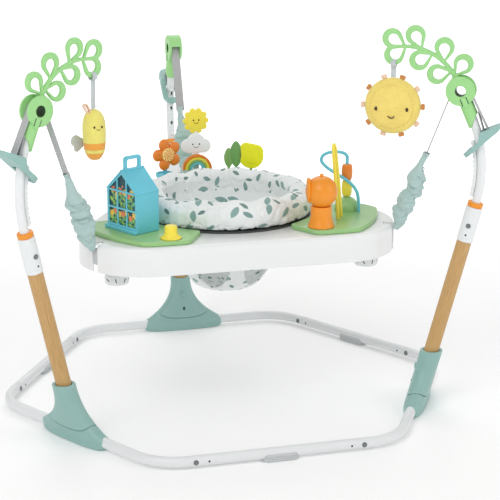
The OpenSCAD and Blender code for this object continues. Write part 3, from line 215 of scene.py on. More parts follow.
class Draft:
    """A mesh under construction, in millimetres, with surface distances as its UV map."""

    def __init__(self) -> None:
        """Starts with an empty mesh."""
        self.mesh = bmesh.new()
        self.uv = self.mesh.loops.layers.uv.new("surface")

    def loft(
        self,
        rings: Sequence[Sequence[Vector]],
        place: Matrix = STILL,
        loop: bool = False,
        caps: tuple[bool, bool] = (True, True),
        paint: int = 0,
    ) -> "Draft":
        """Adds a skin through a stack of rings.

        Args:
            rings: Rings with the same number of points.
            place: Frame that the points are given in.
            loop: Whether the last ring joins the first.
            caps: Whether the first and last ring are filled.
            paint: Index of the material.

        Returns:
            The draft itself.
        """
        n, m = len(rings[0]), len(rings)
        rows = [[self.mesh.verts.new(place @ Vector(p)) for p in ring] for ring in rings]
        along = [0.0]
        for i in range(1, m + 1):
            along.append(along[-1] + (Vector(rings[i % m][0]) - Vector(rings[i - 1][0])).length)
        middle = rings[m // 2]
        around = [0.0]
        for j in range(1, n + 1):
            around.append(around[-1] + (Vector(middle[j % n]) - Vector(middle[j - 1])).length)
        for i in range(m if loop else m - 1):
            for j in range(n):
                a, b = rows[i], rows[(i + 1) % m]
                k = (j + 1) % n
                face = self.mesh.faces.new((a[j], a[k], b[k], b[j]))
                face.material_index = paint
                spots = ((j, i), (j + 1, i), (j + 1, i + 1), (j, i + 1))
                for corner, (x, y) in zip(face.loops, spots):
                    corner[self.uv].uv = (around[x] * UV_UNIT, along[y] * UV_UNIT)
        if not loop:
            for row, wanted in ((list(reversed(rows[0])), caps[0]), (rows[-1], caps[1])):
                if wanted:
                    self.mesh.faces.new(row).material_index = paint
        return self

    def lathe(
        self,
        profile: Sequence[Point],
        place: Matrix = STILL,
        sides: int = 64,
        loop: bool = False,
        paint: int = 0,
    ) -> "Draft":
        """Adds a turned shape.

        Args:
            profile: Radius and height of each ring, bottom first.
            place: Frame whose z axis is the axis of the turning.
            sides: Number of sides.
            loop: Whether the profile closes on itself.
            paint: Index of the material.

        Returns:
            The draft itself.
        """
        rings = [circle(max(r, AXIS_R), z, sides) for r, z in profile]
        return self.loft(rings, place, loop=loop, paint=paint)

    def tube(
        self,
        path: Sequence[Vector],
        r: Radius,
        place: Matrix = STILL,
        sides: int = 16,
        loop: bool = False,
        paint: int = 0,
    ) -> "Draft":
        """Adds a tube along a path.

        Args:
            path: Points of the centre line.
            r: Radius, or a function of the share of the path that gives it.
            place: Frame that the path is given in.
            sides: Number of sides.
            loop: Whether the path closes on itself.
            paint: Index of the material.

        Returns:
            The draft itself.
        """
        path = [Vector(p) for p in path]
        m = len(path)
        side, rings = None, []
        for i, p in enumerate(path):
            before = path[i - 1] if loop else path[max(i - 1, 0)]
            after = path[(i + 1) % m] if loop else path[min(i + 1, m - 1)]
            run = (after - before).normalized()
            if side is None:
                side = run.cross(Vector((0, 1, 0))) if abs(run.y) < 0.9 else run.cross(Vector((1, 0, 0)))
            side = (side - run * side.dot(run)).normalized()
            up = run.cross(side)
            size = r(i / max(m - 1, 1)) if callable(r) else r
            turns = [360 * j / sides for j in range(sides)]
            rings.append([p + size * (cos(t) * side + sin(t) * up) for t in turns])
        return self.loft(rings, place, loop=loop, paint=paint)

    def plate(
        self,
        outlines: Sequence[Sequence[Point]],
        depth: float,
        bevel: float,
        place: Matrix = STILL,
        paint: int = 0,
        rounds: int = 3,
    ) -> "Draft":
        """Adds a plate with rounded edges, centred on its outline's plane.

        Args:
            outlines: Outer outline, and any holes, as points.
            depth: Full thickness.
            bevel: Radius of the edges.
            place: Frame that the outline is drawn in.
            paint: Index of the material.
            rounds: Number of steps in a rounded edge.

        Returns:
            The draft itself.
        """
        curve = bpy.data.curves.new("outline", "CURVE")
        curve.dimensions, curve.fill_mode = "2D", "BOTH"
        curve.extrude, curve.bevel_depth = depth / 2 - bevel, bevel
        curve.bevel_resolution, curve.offset = rounds - 1, -bevel
        for outline in outlines:
            spline = curve.splines.new("POLY")
            spline.points.add(len(outline) - 1)
            for spot, (x, y) in zip(spline.points, outline):
                spot.co = (x, y, 0, 1)
            spline.use_cyclic_u = True
        holder = bpy.data.objects.new("outline", curve)
        mesh = bpy.data.meshes.new_from_object(holder)
        part = bmesh.new()
        part.from_mesh(mesh)
        bmesh.ops.remove_doubles(part, verts=part.verts, dist=1e-3)
        spots = [self.mesh.verts.new(place @ v.co) for v in part.verts]
        for f in part.faces:
            face = self.mesh.faces.new([spots[v.index] for v in f.verts])
            face.material_index = paint
            for corner, v in zip(face.loops, f.verts):
                corner[self.uv].uv = (v.co.x * UV_UNIT, v.co.y * UV_UNIT)
        part.free()
        bpy.data.objects.remove(holder)
        bpy.data.curves.remove(curve)
        bpy.data.meshes.remove(mesh)
        return self

    def build(
        self, name: str, *finishes: "Finish", crease: float = HARD_CREASE, closed: bool = True
    ) -> bpy.types.Object:
        """Turns the draft into an object in metres.

        Args:
            name: Name of the piece.
            finishes: Finishes by index.
            crease: Angle in degrees above which an edge stays sharp.
            closed: Whether the mesh is a closed solid, whose faces are turned outwards.

        Returns:
            The new object, at the origin.
        """
        bmesh.ops.remove_doubles(self.mesh, verts=self.mesh.verts, dist=0.002)
        if closed:
            bmesh.ops.recalc_face_normals(self.mesh, faces=self.mesh.faces)
        bmesh.ops.scale(self.mesh, vec=(MM, MM, MM), verts=self.mesh.verts)
        mesh = bpy.data.meshes.new(name)
        self.mesh.to_mesh(mesh)
        self.mesh.free()
        for finish in finishes:
            mesh.materials.append(finish.material())
        soften(mesh, crease)
        obj = bpy.data.objects.new(name, mesh)
        bpy.context.scene.collection.objects.link(obj)
        return obj


def soften(mesh: bpy.types.Mesh, crease: float) -> None:
    """Shades a mesh smooth, with sharp edges above an angle.

    Args:
        mesh: The mesh.
        crease: Angle in degrees.
    """
    mesh.polygons.foreach_set("use_smooth", [True] * len(mesh.polygons))
    mesh.set_sharp_from_angle(angle=rad(crease))


def bake(obj: bpy.types.Object) -> bpy.types.Object:
    """Turns an object with modifiers into a plain mesh.

    Args:
        obj: The object.

    Returns:
        The same object, with the result as its mesh and no modifiers.
    """
    bpy.context.view_layer.update()
    result = bpy.data.meshes.new_from_object(obj.evaluated_get(bpy.context.evaluated_depsgraph_get()))
    obj.modifiers.clear()
    old, obj.data = obj.data, result
    result.name = obj.name
    bpy.data.meshes.remove(old)
    return obj


def fuse(obj: bpy.types.Object, voxel: float, rounds: int) -> bpy.types.Object:
    """Grows crossing shells into one moulded form with soft inner corners.

    Args:
        obj: The object.
        voxel: Size of the cells in millimetres.
        rounds: Rounds of smoothing.

    Returns:
        The same object.
    """
    remesh = obj.modifiers.new("fuse", "REMESH")
    remesh.mode, remesh.voxel_size, remesh.use_smooth_shade = "VOXEL", voxel * MM, True
    smooth = obj.modifiers.new("soften", "SMOOTH")
    smooth.factor, smooth.iterations = 0.5, rounds
    return bake(obj)


def refine(obj: bpy.types.Object, levels: int) -> bpy.types.Object:
    """Subdivides an object and keeps the result as its mesh.

    Args:
        obj: Object to subdivide.
        levels: Times that it is subdivided.

    Returns:
        The object.
    """
    rounds = obj.modifiers.new("refine", "SUBSURF")
    rounds.levels = rounds.render_levels = levels
    return bake(obj)


def cut(obj: bpy.types.Object, cutter: bpy.types.Object) -> bpy.types.Object:
    """Cuts one closed mesh out of another.

    Args:
        obj: The object that stays.
        cutter: The object that is cut out, and removed.

    Returns:
        The first object.
    """
    boolean = obj.modifiers.new("cut", "BOOLEAN")
    boolean.operation, boolean.object, boolean.solver = "DIFFERENCE", cutter, "EXACT"
    bake(obj)
    bpy.data.objects.remove(cutter)
    return obj


def dress(obj: bpy.types.Object, body: str, slot: str, *nodes: str) -> bpy.types.Object:
    """Puts a finished piece on its body.

    Args:
        obj: The piece.
        body: Name of the body that it rides on.
        slot: Material slot of the record; not used.
        nodes: Nodes that it stands for.

    Returns:
        The piece.
    """
    if nodes:
        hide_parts(*nodes)
    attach(obj, body)
    LOG.info("%s rides on %s, %d faces", obj.name, body, len(obj.data.polygons))
    return obj


def stretch(
    obj: bpy.types.Object, node: str, bodies: tuple[str, str], high: float, low: float
) -> bpy.types.Object:
    """Stands in for the node of a soft piece that hangs between two bodies that a joint parts: hides the node
    and leaves the piece where it is built, on neither body.

    Args:
        obj: The piece.
        node: Node that it stands for.
        bodies: Names of the upper and the lower body.
        high: Height in millimetres above which the piece belongs to the upper body; not used.
        low: Height in millimetres below which the piece belongs to the lower body; not used.

    Returns:
        The piece.
    """
    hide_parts(node)
    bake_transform(obj)
    LOG.info("%s stretches between %s and %s", obj.name, *bodies)
    return obj


class NodeKit:
    """Short ways to add and link the nodes of one tree."""

    def __init__(self, tree: bpy.types.NodeTree) -> None:
        """Keeps the tree that the nodes go into."""
        self.tree = tree

    def add(self, kind: str, inputs: Optional[dict[Any, Any]] = None, **settings: Any) -> bpy.types.Node:
        """Adds a node.

        Args:
            kind: Type of the node.
            inputs: Values or sockets by the name or number of the input.
            settings: The node's own settings.

        Returns:
            The new node.
        """
        node = self.tree.nodes.new(kind)
        for key, value in settings.items():
            setattr(node, key, value)
        return self.feed(node, inputs or {})

    def feed(self, node: bpy.types.Node, inputs: dict[Any, Any]) -> bpy.types.Node:
        """Sets the inputs of a node.

        Args:
            node: The node.
            inputs: Values or sockets by the name or number of the input.

        Returns:
            The same node.
        """
        for key, value in inputs.items():
            if isinstance(value, bpy.types.NodeSocket):
                self.tree.links.new(value, node.inputs[key])
            else:
                node.inputs[key].default_value = value
        return node

    def math(self, operation: str, a: Any, b: Any = 0.0, clamp: bool = False) -> bpy.types.NodeSocket:
        """Adds a sum of one or two values and gives its result."""
        return self.add("ShaderNodeMath", {0: a, 1: b}, operation=operation, use_clamp=clamp).outputs[0]

    def vector(self, operation: str, a: Any, b: Any = (0, 0, 0)) -> bpy.types.NodeSocket:
        """Adds a sum of two vectors and gives its result."""
        node = self.add("ShaderNodeVectorMath", {0: a, 1: b}, operation=operation)
        return node.outputs["Value" if operation in ("LENGTH", "DOT_PRODUCT") else "Vector"]

    def mix(self, factor: Any, a: Any, b: Any) -> bpy.types.NodeSocket:
        """Adds a mix of two colours and gives its result."""
        return self.add("ShaderNodeMix", {0: factor, 6: a, 7: b}, data_type="RGBA").outputs[2]

    def between(self, value: Any, low: float, high: float) -> bpy.types.NodeSocket:
        """Adds a smooth step from 0 at low to 1 at high and gives its result."""
        inputs = {"Value": value, "From Min": low, "From Max": high}
        return self.add("ShaderNodeMapRange", inputs, interpolation_type="SMOOTHSTEP").outputs[0]

    def noise(self, vector: Any, scale: Any, detail: float = 2.0) -> bpy.types.NodeSocket:
        """Adds a noise and gives its value."""
        inputs = {"Vector": vector, "Scale": scale, "Detail": detail}
        return self.add("ShaderNodeTexNoise", inputs).outputs[0]


class Effect(Enum):
    """Surface effects that several finishes share, each one node group."""

    GRAIN = "moulded_grain"
    EDGE = "edge_wear"
    DUST = "settled_dust"
    WEAVE = "cloth_weave"
    LEAVES = "leaf_scatter"
    PILE = "plush_pile"


def effect_group(effect: Effect) -> bpy.types.NodeTree:
    """Gives the node group of an effect, and builds it the first time.

    Args:
        effect: The effect.

    Returns:
        The node group.
    """
    if effect.value in bpy.data.node_groups:
        return bpy.data.node_groups[effect.value]
    tree = bpy.data.node_groups.new(effect.value, "ShaderNodeTree")
    tree.interface.new_socket("Vector", in_out="INPUT", socket_type="NodeSocketVector")
    plan = PLANS[effect]
    for name, value in plan.inputs.items():
        tree.interface.new_socket(name, in_out="INPUT", socket_type="NodeSocketFloat").default_value = value
    for name in plan.outputs:
        tree.interface.new_socket(name, in_out="OUTPUT", socket_type="NodeSocketFloat")
    kit = NodeKit(tree)
    entry = tree.nodes.new("NodeGroupInput").outputs
    result = tree.nodes.new("NodeGroupOutput").inputs
    for socket, value in zip(result, plan.nodes(kit, entry)):
        tree.links.new(value, socket)
    return tree


def grain_nodes(kit: NodeKit, entry: Any) -> tuple:
    """Fine moulded grain and a slow drift of tone.

    Args:
        kit: Builder of the effect's tree.
        entry: The tree's inputs.

    Returns:
        The grain and the drift.
    """
    fine = kit.noise(entry["Vector"], entry["Scale"], 3.0)
    drift = kit.noise(entry["Vector"], 9.0, 2.0)
    return fine, drift


def edge_nodes(kit: NodeKit, entry: Any) -> tuple:
    """Paler rubbed edges, broken up by noise.

    Args:
        kit: Builder of the effect's tree.
        entry: The tree's inputs.

    Returns:
        The mask of the edges.
    """
    edge = kit.add("ShaderNodeNewGeometry").outputs["Pointiness"]
    above = kit.math("SUBTRACT", edge, 0.5)
    share = kit.math("DIVIDE", above, entry["Reach"], clamp=True)
    return (kit.math("MULTIPLY", share, kit.noise(entry["Vector"], 140.0)),)


def dust_nodes(kit: NodeKit, entry: Any) -> tuple:
    """A little dust on what faces up.

    Args:
        kit: Builder of the effect's tree.
        entry: The tree's inputs.

    Returns:
        The mask of the dust.
    """
    normal = kit.add("ShaderNodeNewGeometry").outputs["Normal"]
    up = kit.between(kit.add("ShaderNodeSeparateXYZ", {0: normal}).outputs["Z"], 0.4, 1.0)
    patches = kit.between(kit.noise(entry["Vector"], entry["Scale"], 4.0), 0.4, 0.75)
    return (kit.math("MULTIPLY", up, patches),)


def weave_nodes(kit: NodeKit, entry: Any) -> tuple:
    """Plain weave: threads that pass over and under each other.

    Args:
        kit: Builder of the effect's tree.
        entry: The tree's inputs.

    Returns:
        Height of the threads, and their shade.
    """
    spot = kit.add("ShaderNodeSeparateXYZ", {0: entry["Vector"]}).outputs
    turns = kit.math("MULTIPLY", entry["Threads"], math.pi)
    warp = kit.math("SINE", kit.math("MULTIPLY", spot["X"], turns))
    weft = kit.math("SINE", kit.math("MULTIPLY", spot["Y"], turns))
    over = kit.math("MULTIPLY", warp, weft)
    height = kit.math("ADD", kit.math("MULTIPLY", over, 0.25), 0.5)
    crowns = kit.math("ADD", kit.math("ABSOLUTE", warp), kit.math("ABSOLUTE", weft))
    shade = kit.math("MULTIPLY", crowns, 0.5)
    return height, shade


def leaf_nodes(kit: NodeKit, entry: Any) -> tuple:
    """Pointed leaves scattered one to a cell, each turned its own way.

    Args:
        kit: Builder of the effect's tree.
        entry: The tree's inputs.

    Returns:
        Mask of the leaves, and each leaf's tone.
    """
    spot = kit.vector("SCALE", entry["Vector"])
    kit.feed(spot.node, {"Scale": entry["Scale"]})
    cells = kit.add(
        "ShaderNodeTexVoronoi", {"Vector": spot, "Scale": 1.0, "Randomness": 0.72}, voronoi_dimensions="2D"
    ).outputs
    chance = kit.add("ShaderNodeSeparateColor", {0: cells["Color"]}).outputs
    angle = kit.math("MULTIPLY", chance[0], 2 * math.pi)
    away = kit.vector("SUBTRACT", spot, cells["Position"])
    turn = {"Vector": away, "Angle": angle}
    local = kit.add("ShaderNodeVectorRotate", turn, rotation_type="Z_AXIS").outputs[0]
    axes = kit.add("ShaderNodeSeparateXYZ", {0: local}).outputs
    size = kit.math("MULTIPLY", entry["Size"], kit.math("ADD", kit.math("MULTIPLY", chance[1], 0.5), 0.75))
    side = kit.math("ADD", kit.math("ABSOLUTE", axes["Y"]), kit.math("MULTIPLY", size, 0.62))
    squares = kit.math("ADD", kit.math("MULTIPLY", axes["X"], axes["X"]), kit.math("MULTIPLY", side, side))
    reach = kit.math("DIVIDE", kit.math("SQRT", squares), size)
    mask = kit.math("SUBTRACT", 1.0, kit.between(reach, 0.94, 1.0))
    kept = kit.math("LESS_THAN", chance[2], 0.97)
    return kit.math("MULTIPLY", mask, kept), chance[1]


def pile_nodes(kit: NodeKit, entry: Any) -> tuple:
    """Short tufts of plush.

    Args:
        kit: Builder of the effect's tree.
        entry: The tree's inputs.

    Returns:
        Height of the tufts, and their shade.
    """
    cells = {"Vector": entry["Vector"], "Scale": entry["Scale"]}
    tufts = kit.add("ShaderNodeTexVoronoi", cells).outputs["Distance"]
    rough = kit.noise(entry["Vector"], 260.0, 4.0)
    height = kit.math("SUBTRACT", rough, tufts)
    return height, kit.noise(entry["Vector"], 48.0, 3.0)


@dataclass(frozen=True)
class EffectPlan:
    """Named inputs and outputs of an effect, and the function that adds its nodes."""

    inputs: dict
    outputs: tuple
    nodes: Callable[[NodeKit, Any], tuple]


PLANS = {
    Effect.GRAIN: EffectPlan({"Scale": 900.0}, ("Height", "Tone"), grain_nodes),
    Effect.EDGE: EffectPlan({"Reach": 0.06}, ("Mask",), edge_nodes),
    Effect.DUST: EffectPlan({"Scale": 60.0}, ("Mask",), dust_nodes),
    Effect.WEAVE: EffectPlan({"Threads": 90.0}, ("Height", "Shade"), weave_nodes),
    Effect.LEAVES: EffectPlan({"Scale": 4.0, "Size": 0.3}, ("Mask", "Tone"), leaf_nodes),
    Effect.PILE: EffectPlan({"Scale": 700.0}, ("Height", "Shade"), pile_nodes),
}


def srgb(r: int, g: int, b: int) -> tuple[float, float, float, float]:
    """Colour from 0 to 255 as the renderer takes it."""
    shares = [c / 255 for c in (r, g, b)]
    return tuple(s / 12.92 if s <= 0.04045 else ((s + 0.055) / 1.055) ** 2.4 for s in shares) + (1.0,)


def scaled(colour: Sequence[float], share: float) -> tuple[float, float, float, float]:
    """Colour made lighter or darker."""
    return tuple(min(c * share, 1.0) for c in colour[:3]) + (1.0,)


MADE: dict[str, bpy.types.Material] = {}


class Finish:
    """A finish: its material is made once, the first time that it is asked for."""

    name: str

    def material(self) -> bpy.types.Material:
        """Gives the finish's material.

        Returns:
            The material, new or made before.
        """
        if self.name in MADE:
            return MADE[self.name]
        material = MADE[self.name] = bpy.data.materials.new(f"finish_{self.name}")
        material.use_nodes = True
        tree = material.node_tree
        self.paint(NodeKit(tree), tree.nodes["Principled BSDF"], tree.nodes.new("ShaderNodeTexCoord").outputs)
        return material

    def paint(self, kit: NodeKit, shader: bpy.types.Node, spots: Any) -> None:
        """Links the finish's nodes to its shader."""
        raise NotImplementedError

    def effect(self, kit: NodeKit, effect: Effect, vector: Any, **values: float) -> Any:
        """Places a shared effect and gives its outputs."""
        node = kit.add("ShaderNodeGroup", node_tree=effect_group(effect))
        return kit.feed(node, {"Vector": vector} | values).outputs

    def bump(
        self, kit: NodeKit, shader: bpy.types.Node, height: Any, strength: float, distance: float
    ) -> None:
        """Links a height to the shader's normal."""
        inputs = {"Height": height, "Strength": strength, "Distance": distance}
        kit.feed(shader, {"Normal": kit.add("ShaderNodeBump", inputs).outputs[0]})


@dataclass(frozen=True)
class Moulded(Finish):
    """Moulded or powder-coated surface: fine grain, faint drift of tone, rubbed edges and a trace of dust."""

    name: str
    colour: tuple
    roughness: float = 0.36
    grain: float = 0.12
    grain_scale: float = 900.0
    coat: float = 0.0
    wear: float = 0.25
    drift: float = 0.05

    def paint(self, kit: NodeKit, shader: bpy.types.Node, spots: Any) -> None:
        """Links grain, drift, wear and dust to the shader.

        Args:
            kit: Builder of the material's tree.
            shader: The tree's shader.
            spots: The tree's texture coordinates.
        """
        grain = self.effect(kit, Effect.GRAIN, spots["Object"], Scale=self.grain_scale)
        edge = self.effect(kit, Effect.EDGE, spots["Object"])
        dust = self.effect(kit, Effect.DUST, spots["Object"])
        dark, pale = scaled(self.colour, 1 - self.drift), scaled(self.colour, 1 + self.drift)
        body = kit.mix(grain["Tone"], dark, pale)
        worn = kit.mix(kit.math("MULTIPLY", edge["Mask"], self.wear), body, scaled(self.colour, 1.35))
        dusty = kit.mix(kit.math("MULTIPLY", dust["Mask"], 0.05), worn, srgb(205, 203, 196))
        rough = kit.math("MULTIPLY", kit.math("SUBTRACT", grain["Tone"], 0.5), 0.12)
        kit.feed(shader, {"Base Color": dusty, "Roughness": kit.math("ADD", rough, self.roughness)})
        kit.feed(shader, {"Coat Weight": self.coat, "Coat Roughness": 0.12})
        self.bump(kit, shader, grain["Height"], self.grain, 0.0004)


@dataclass(frozen=True)
class WoodWrap(Finish):
    """Printed wood wrap on the posts: long fine streaks along the tube."""

    name: str
    pale: tuple
    dark: tuple

    def paint(self, kit: NodeKit, shader: bpy.types.Node, spots: Any) -> None:
        """Links stretched streaks and pores to the shader.

        Args:
            kit: Builder of the material's tree.
            shader: The tree's shader.
            spots: The tree's texture coordinates.
        """
        drawn = kit.add("ShaderNodeMapping", {"Vector": spots["UV"], "Scale": (26.0, 1.6, 1.0)}).outputs[0]
        streaks = kit.math("MULTIPLY", kit.noise(drawn, 2.2, 6.0), 0.6)
        waves = {"Vector": drawn, "Scale": 0.55, "Distortion": 9.0, "Detail": 3.0}
        lines = kit.math("MULTIPLY", kit.add("ShaderNodeTexWave", waves).outputs[1], 0.4)
        tone = kit.math("ADD", streaks, lines)
        colour = kit.mix(kit.between(tone, 0.25, 0.8), self.dark, self.pale)
        grain = self.effect(kit, Effect.GRAIN, spots["Object"], Scale=500.0)
        rough = kit.math("ADD", kit.math("MULTIPLY", grain["Tone"], 0.12), 0.4)
        kit.feed(shader, {"Base Color": colour, "Roughness": rough})
        height = kit.math("ADD", tone, kit.math("MULTIPLY", grain["Height"], 0.3))
        self.bump(kit, shader, height, 0.18, 0.0004)


@dataclass(frozen=True)
class Cloth(Finish):
    """Woven cloth, plain or printed with leaves."""

    name: str
    colour: tuple
    threads: float = 110.0
    leaf: Optional[tuple] = None
    leaf_scale: float = 2.75
    leaf_size: float = 0.42
    roughness: float = 0.85
    depth: float = 0.25

    def paint(self, kit: NodeKit, shader: bpy.types.Node, spots: Any) -> None:
        """Links weave, soft shading and any print to the shader.

        Args:
            kit: Builder of the material's tree.
            shader: The tree's shader.
            spots: The tree's texture coordinates.
        """
        weave = self.effect(kit, Effect.WEAVE, spots["UV"], Threads=self.threads)
        grain = self.effect(kit, Effect.GRAIN, spots["Object"], Scale=70.0)
        colour = kit.mix(grain["Tone"], scaled(self.colour, 0.93), scaled(self.colour, 1.05))
        if self.leaf:
            leaves = self.effect(kit, Effect.LEAVES, spots["UV"], Scale=self.leaf_scale, Size=self.leaf_size)
            ink = kit.mix(leaves["Tone"], scaled(self.leaf, 0.72), scaled(self.leaf, 1.25))
            colour = kit.mix(leaves["Mask"], colour, ink)
        threads = kit.add(
            "ShaderNodeMix", {0: kit.math("MULTIPLY", weave["Shade"], 0.16), 6: colour, 7: (1, 1, 1, 1)},
            data_type="RGBA", blend_type="SOFT_LIGHT",
        ).outputs[2]
        kit.feed(shader, {"Base Color": threads, "Roughness": self.roughness})
        kit.feed(shader, {"Sheen Weight": 0.25, "Sheen Roughness": 0.5})
        height = kit.math("ADD", weave["Height"], kit.math("MULTIPLY", grain["Height"], 0.8))
        self.bump(kit, shader, height, self.depth, 0.0006)


@dataclass(frozen=True)
class Plush(Finish):
    """Short plush or felt."""

    name: str
    colour: tuple
    pile: float = 0.6
    scale: float = 700.0

    def paint(self, kit: NodeKit, shader: bpy.types.Node, spots: Any) -> None:
        """Links tufts and soft patches to the shader.

        Args:
            kit: Builder of the material's tree.
            shader: The tree's shader.
            spots: The tree's texture coordinates.
        """
        pile = self.effect(kit, Effect.PILE, spots["Object"], Scale=self.scale)
        colour = kit.mix(pile["Shade"], scaled(self.colour, 0.86), scaled(self.colour, 1.1))
        kit.feed(shader, {"Base Color": colour, "Roughness": 0.92})
        kit.feed(shader, {"Sheen Weight": 0.45, "Sheen Roughness": 0.4})
        self.bump(kit, shader, pile["Height"], self.pile, 0.0012)


@dataclass(frozen=True)
class Metal(Finish):
    """Bright drawn wire."""

    name: str
    colour: tuple
    roughness: float = 0.3

    def paint(self, kit: NodeKit, shader: bpy.types.Node, spots: Any) -> None:
        """Links drawing marks to the shader.

        Args:
            kit: Builder of the material's tree.
            shader: The tree's shader.
            spots: The tree's texture coordinates.
        """
        grain = self.effect(kit, Effect.GRAIN, spots["Object"], Scale=300.0)
        colour = kit.mix(grain["Tone"], scaled(self.colour, 0.85), scaled(self.colour, 1.1))
        rough = kit.math("ADD", kit.math("MULTIPLY", grain["Height"], 0.15), self.roughness)
        kit.feed(shader, {"Base Color": colour, "Roughness": rough, "Metallic": 1.0})
        self.bump(kit, shader, grain["Height"], 0.1, 0.0003)


@dataclass(frozen=True)
class Paper(Finish):
    """Studio paper that fades to white away from the middle."""

    name: str
    near: float = 0.1
    far: float = 0.6

    def paint(self, kit: NodeKit, shader: bpy.types.Node, spots: Any) -> None:
        """Links the fade to the shader's glow.

        Args:
            kit: Builder of the material's tree.
            shader: The tree's shader.
            spots: The tree's texture coordinates.
        """
        away = kit.between(kit.vector("LENGTH", spots["Object"]), 0.9, 3.2)
        glow = kit.math("ADD", kit.math("MULTIPLY", away, self.far - self.near), self.near)
        kit.feed(shader, {"Base Color": srgb(250, 250, 250), "Roughness": 0.75})
        kit.feed(shader, {"Emission Color": (1.0, 1.0, 1.0, 1.0), "Emission Strength": glow})


PAPER = Paper("studio_paper")
WHITE_TRAY = Moulded("white_tray", srgb(233, 235, 235), roughness=0.3, grain=0.05, coat=0.25, drift=0.015)
WHITE_TUBE = Moulded("white_powder_coat", srgb(231, 233, 234), roughness=0.36, grain=0.1, drift=0.015)
WHITE_PART = Moulded("white_plastic", srgb(230, 233, 234), roughness=0.38, drift=0.02)
# Near-black green for the seat's turning ring: painted shadow, so the ring reads as the dark gap under the
# padded rim.
SEAT_RING_SHADOW = Moulded("seat_ring_dark", srgb(52, 60, 58), roughness=0.5, grain=0.3)
GREY_PART = Moulded("grey_plastic", srgb(186, 190, 192), roughness=0.42)
PEG = Moulded("snap_button_grey", srgb(118, 124, 126), roughness=0.35, grain=0.2)
RUBBER = Moulded("grip_rubber", srgb(196, 199, 200), roughness=0.75, grain=0.5, grain_scale=400.0)
MINT = Moulded("mint_plastic", srgb(146, 184, 178), roughness=0.4, grain=0.25)
GREEN = Moulded("green_plastic", srgb(157, 214, 139), roughness=0.4, grain=0.2)
MAT = Moulded(
    "mat_green", srgb(150, 196, 128), roughness=0.32, grain=0.3, grain_scale=260.0, coat=0.2, drift=0.08
)
BLUE = Moulded("blue_plastic", srgb(104, 196, 216), roughness=0.42, grain=0.2)
ORANGE = Moulded("orange_plastic", srgb(240, 148, 34), roughness=0.36)
DEEP_ORANGE = Moulded("deep_orange_plastic", srgb(232, 128, 28), roughness=0.34, coat=0.2)
YELLOW = Moulded("yellow_plastic", srgb(246, 224, 72), roughness=0.36)
LEMON = Moulded("lemon_plastic", srgb(242, 238, 30), roughness=0.34)
FOLIAGE = Moulded("foliage_plastic", srgb(112, 164, 92), roughness=0.4)
SPROUT = Moulded("sprout_plastic", srgb(134, 178, 104), roughness=0.4)
CREAM = Moulded("cream_plastic", srgb(250, 226, 150), roughness=0.38)
CLOUD = Moulded("cloud_white", srgb(240, 241, 243), roughness=0.42, drift=0.02)
INK = Moulded("print_ink", srgb(74, 52, 30), roughness=0.6, grain=0.0, wear=0.0)
# Dark green for the inside of the heads' bores: painted shade.
BORE_PAINTED_SHADE = Moulded("bore_green", srgb(52, 88, 46), roughness=0.6)
# Dark slate for slits, slots, small holes and hole backs: painted shade standing in for the dark inside of
# recesses.
RECESS_SHADOW = Moulded("seam_shadow", srgb(60, 84, 80), roughness=0.7, grain=0.0, wear=0.0)
WOOD = WoodWrap("wood_wrap", srgb(212, 174, 116), srgb(182, 140, 84))
WEBBING = Cloth("grey_webbing", srgb(172, 173, 174), threads=60.0, depth=0.6)
RIBBON = Cloth("ribbon_grey", srgb(192, 198, 201), threads=90.0, depth=0.5)
MINT_CLOTH = Cloth("mint_cloth", srgb(170, 196, 193), threads=80.0, depth=0.3)
LEAF_CLOTH = Cloth("leaf_cloth", srgb(230, 234, 233), leaf=srgb(118, 148, 144))
PLUSH = Plush("yellow_plush", srgb(251, 222, 122))
LEMON_PLUSH = Plush("lemon_plush", srgb(240, 228, 122))
STRIPE = Plush("orange_plush", srgb(243, 168, 72))
FELT_GREY = Plush("grey_felt", srgb(205, 214, 214), pile=0.35, scale=900.0)
FELT_ORANGE = Plush("orange_felt", srgb(208, 142, 80), pile=0.35, scale=900.0)
FELT_PEACH = Plush("peach_felt", srgb(240, 206, 182), pile=0.35, scale=900.0)
STITCH = Plush("stitch_thread", srgb(226, 196, 96), pile=0.3, scale=900.0)
STEEL = Metal("spring_steel", srgb(178, 180, 184))


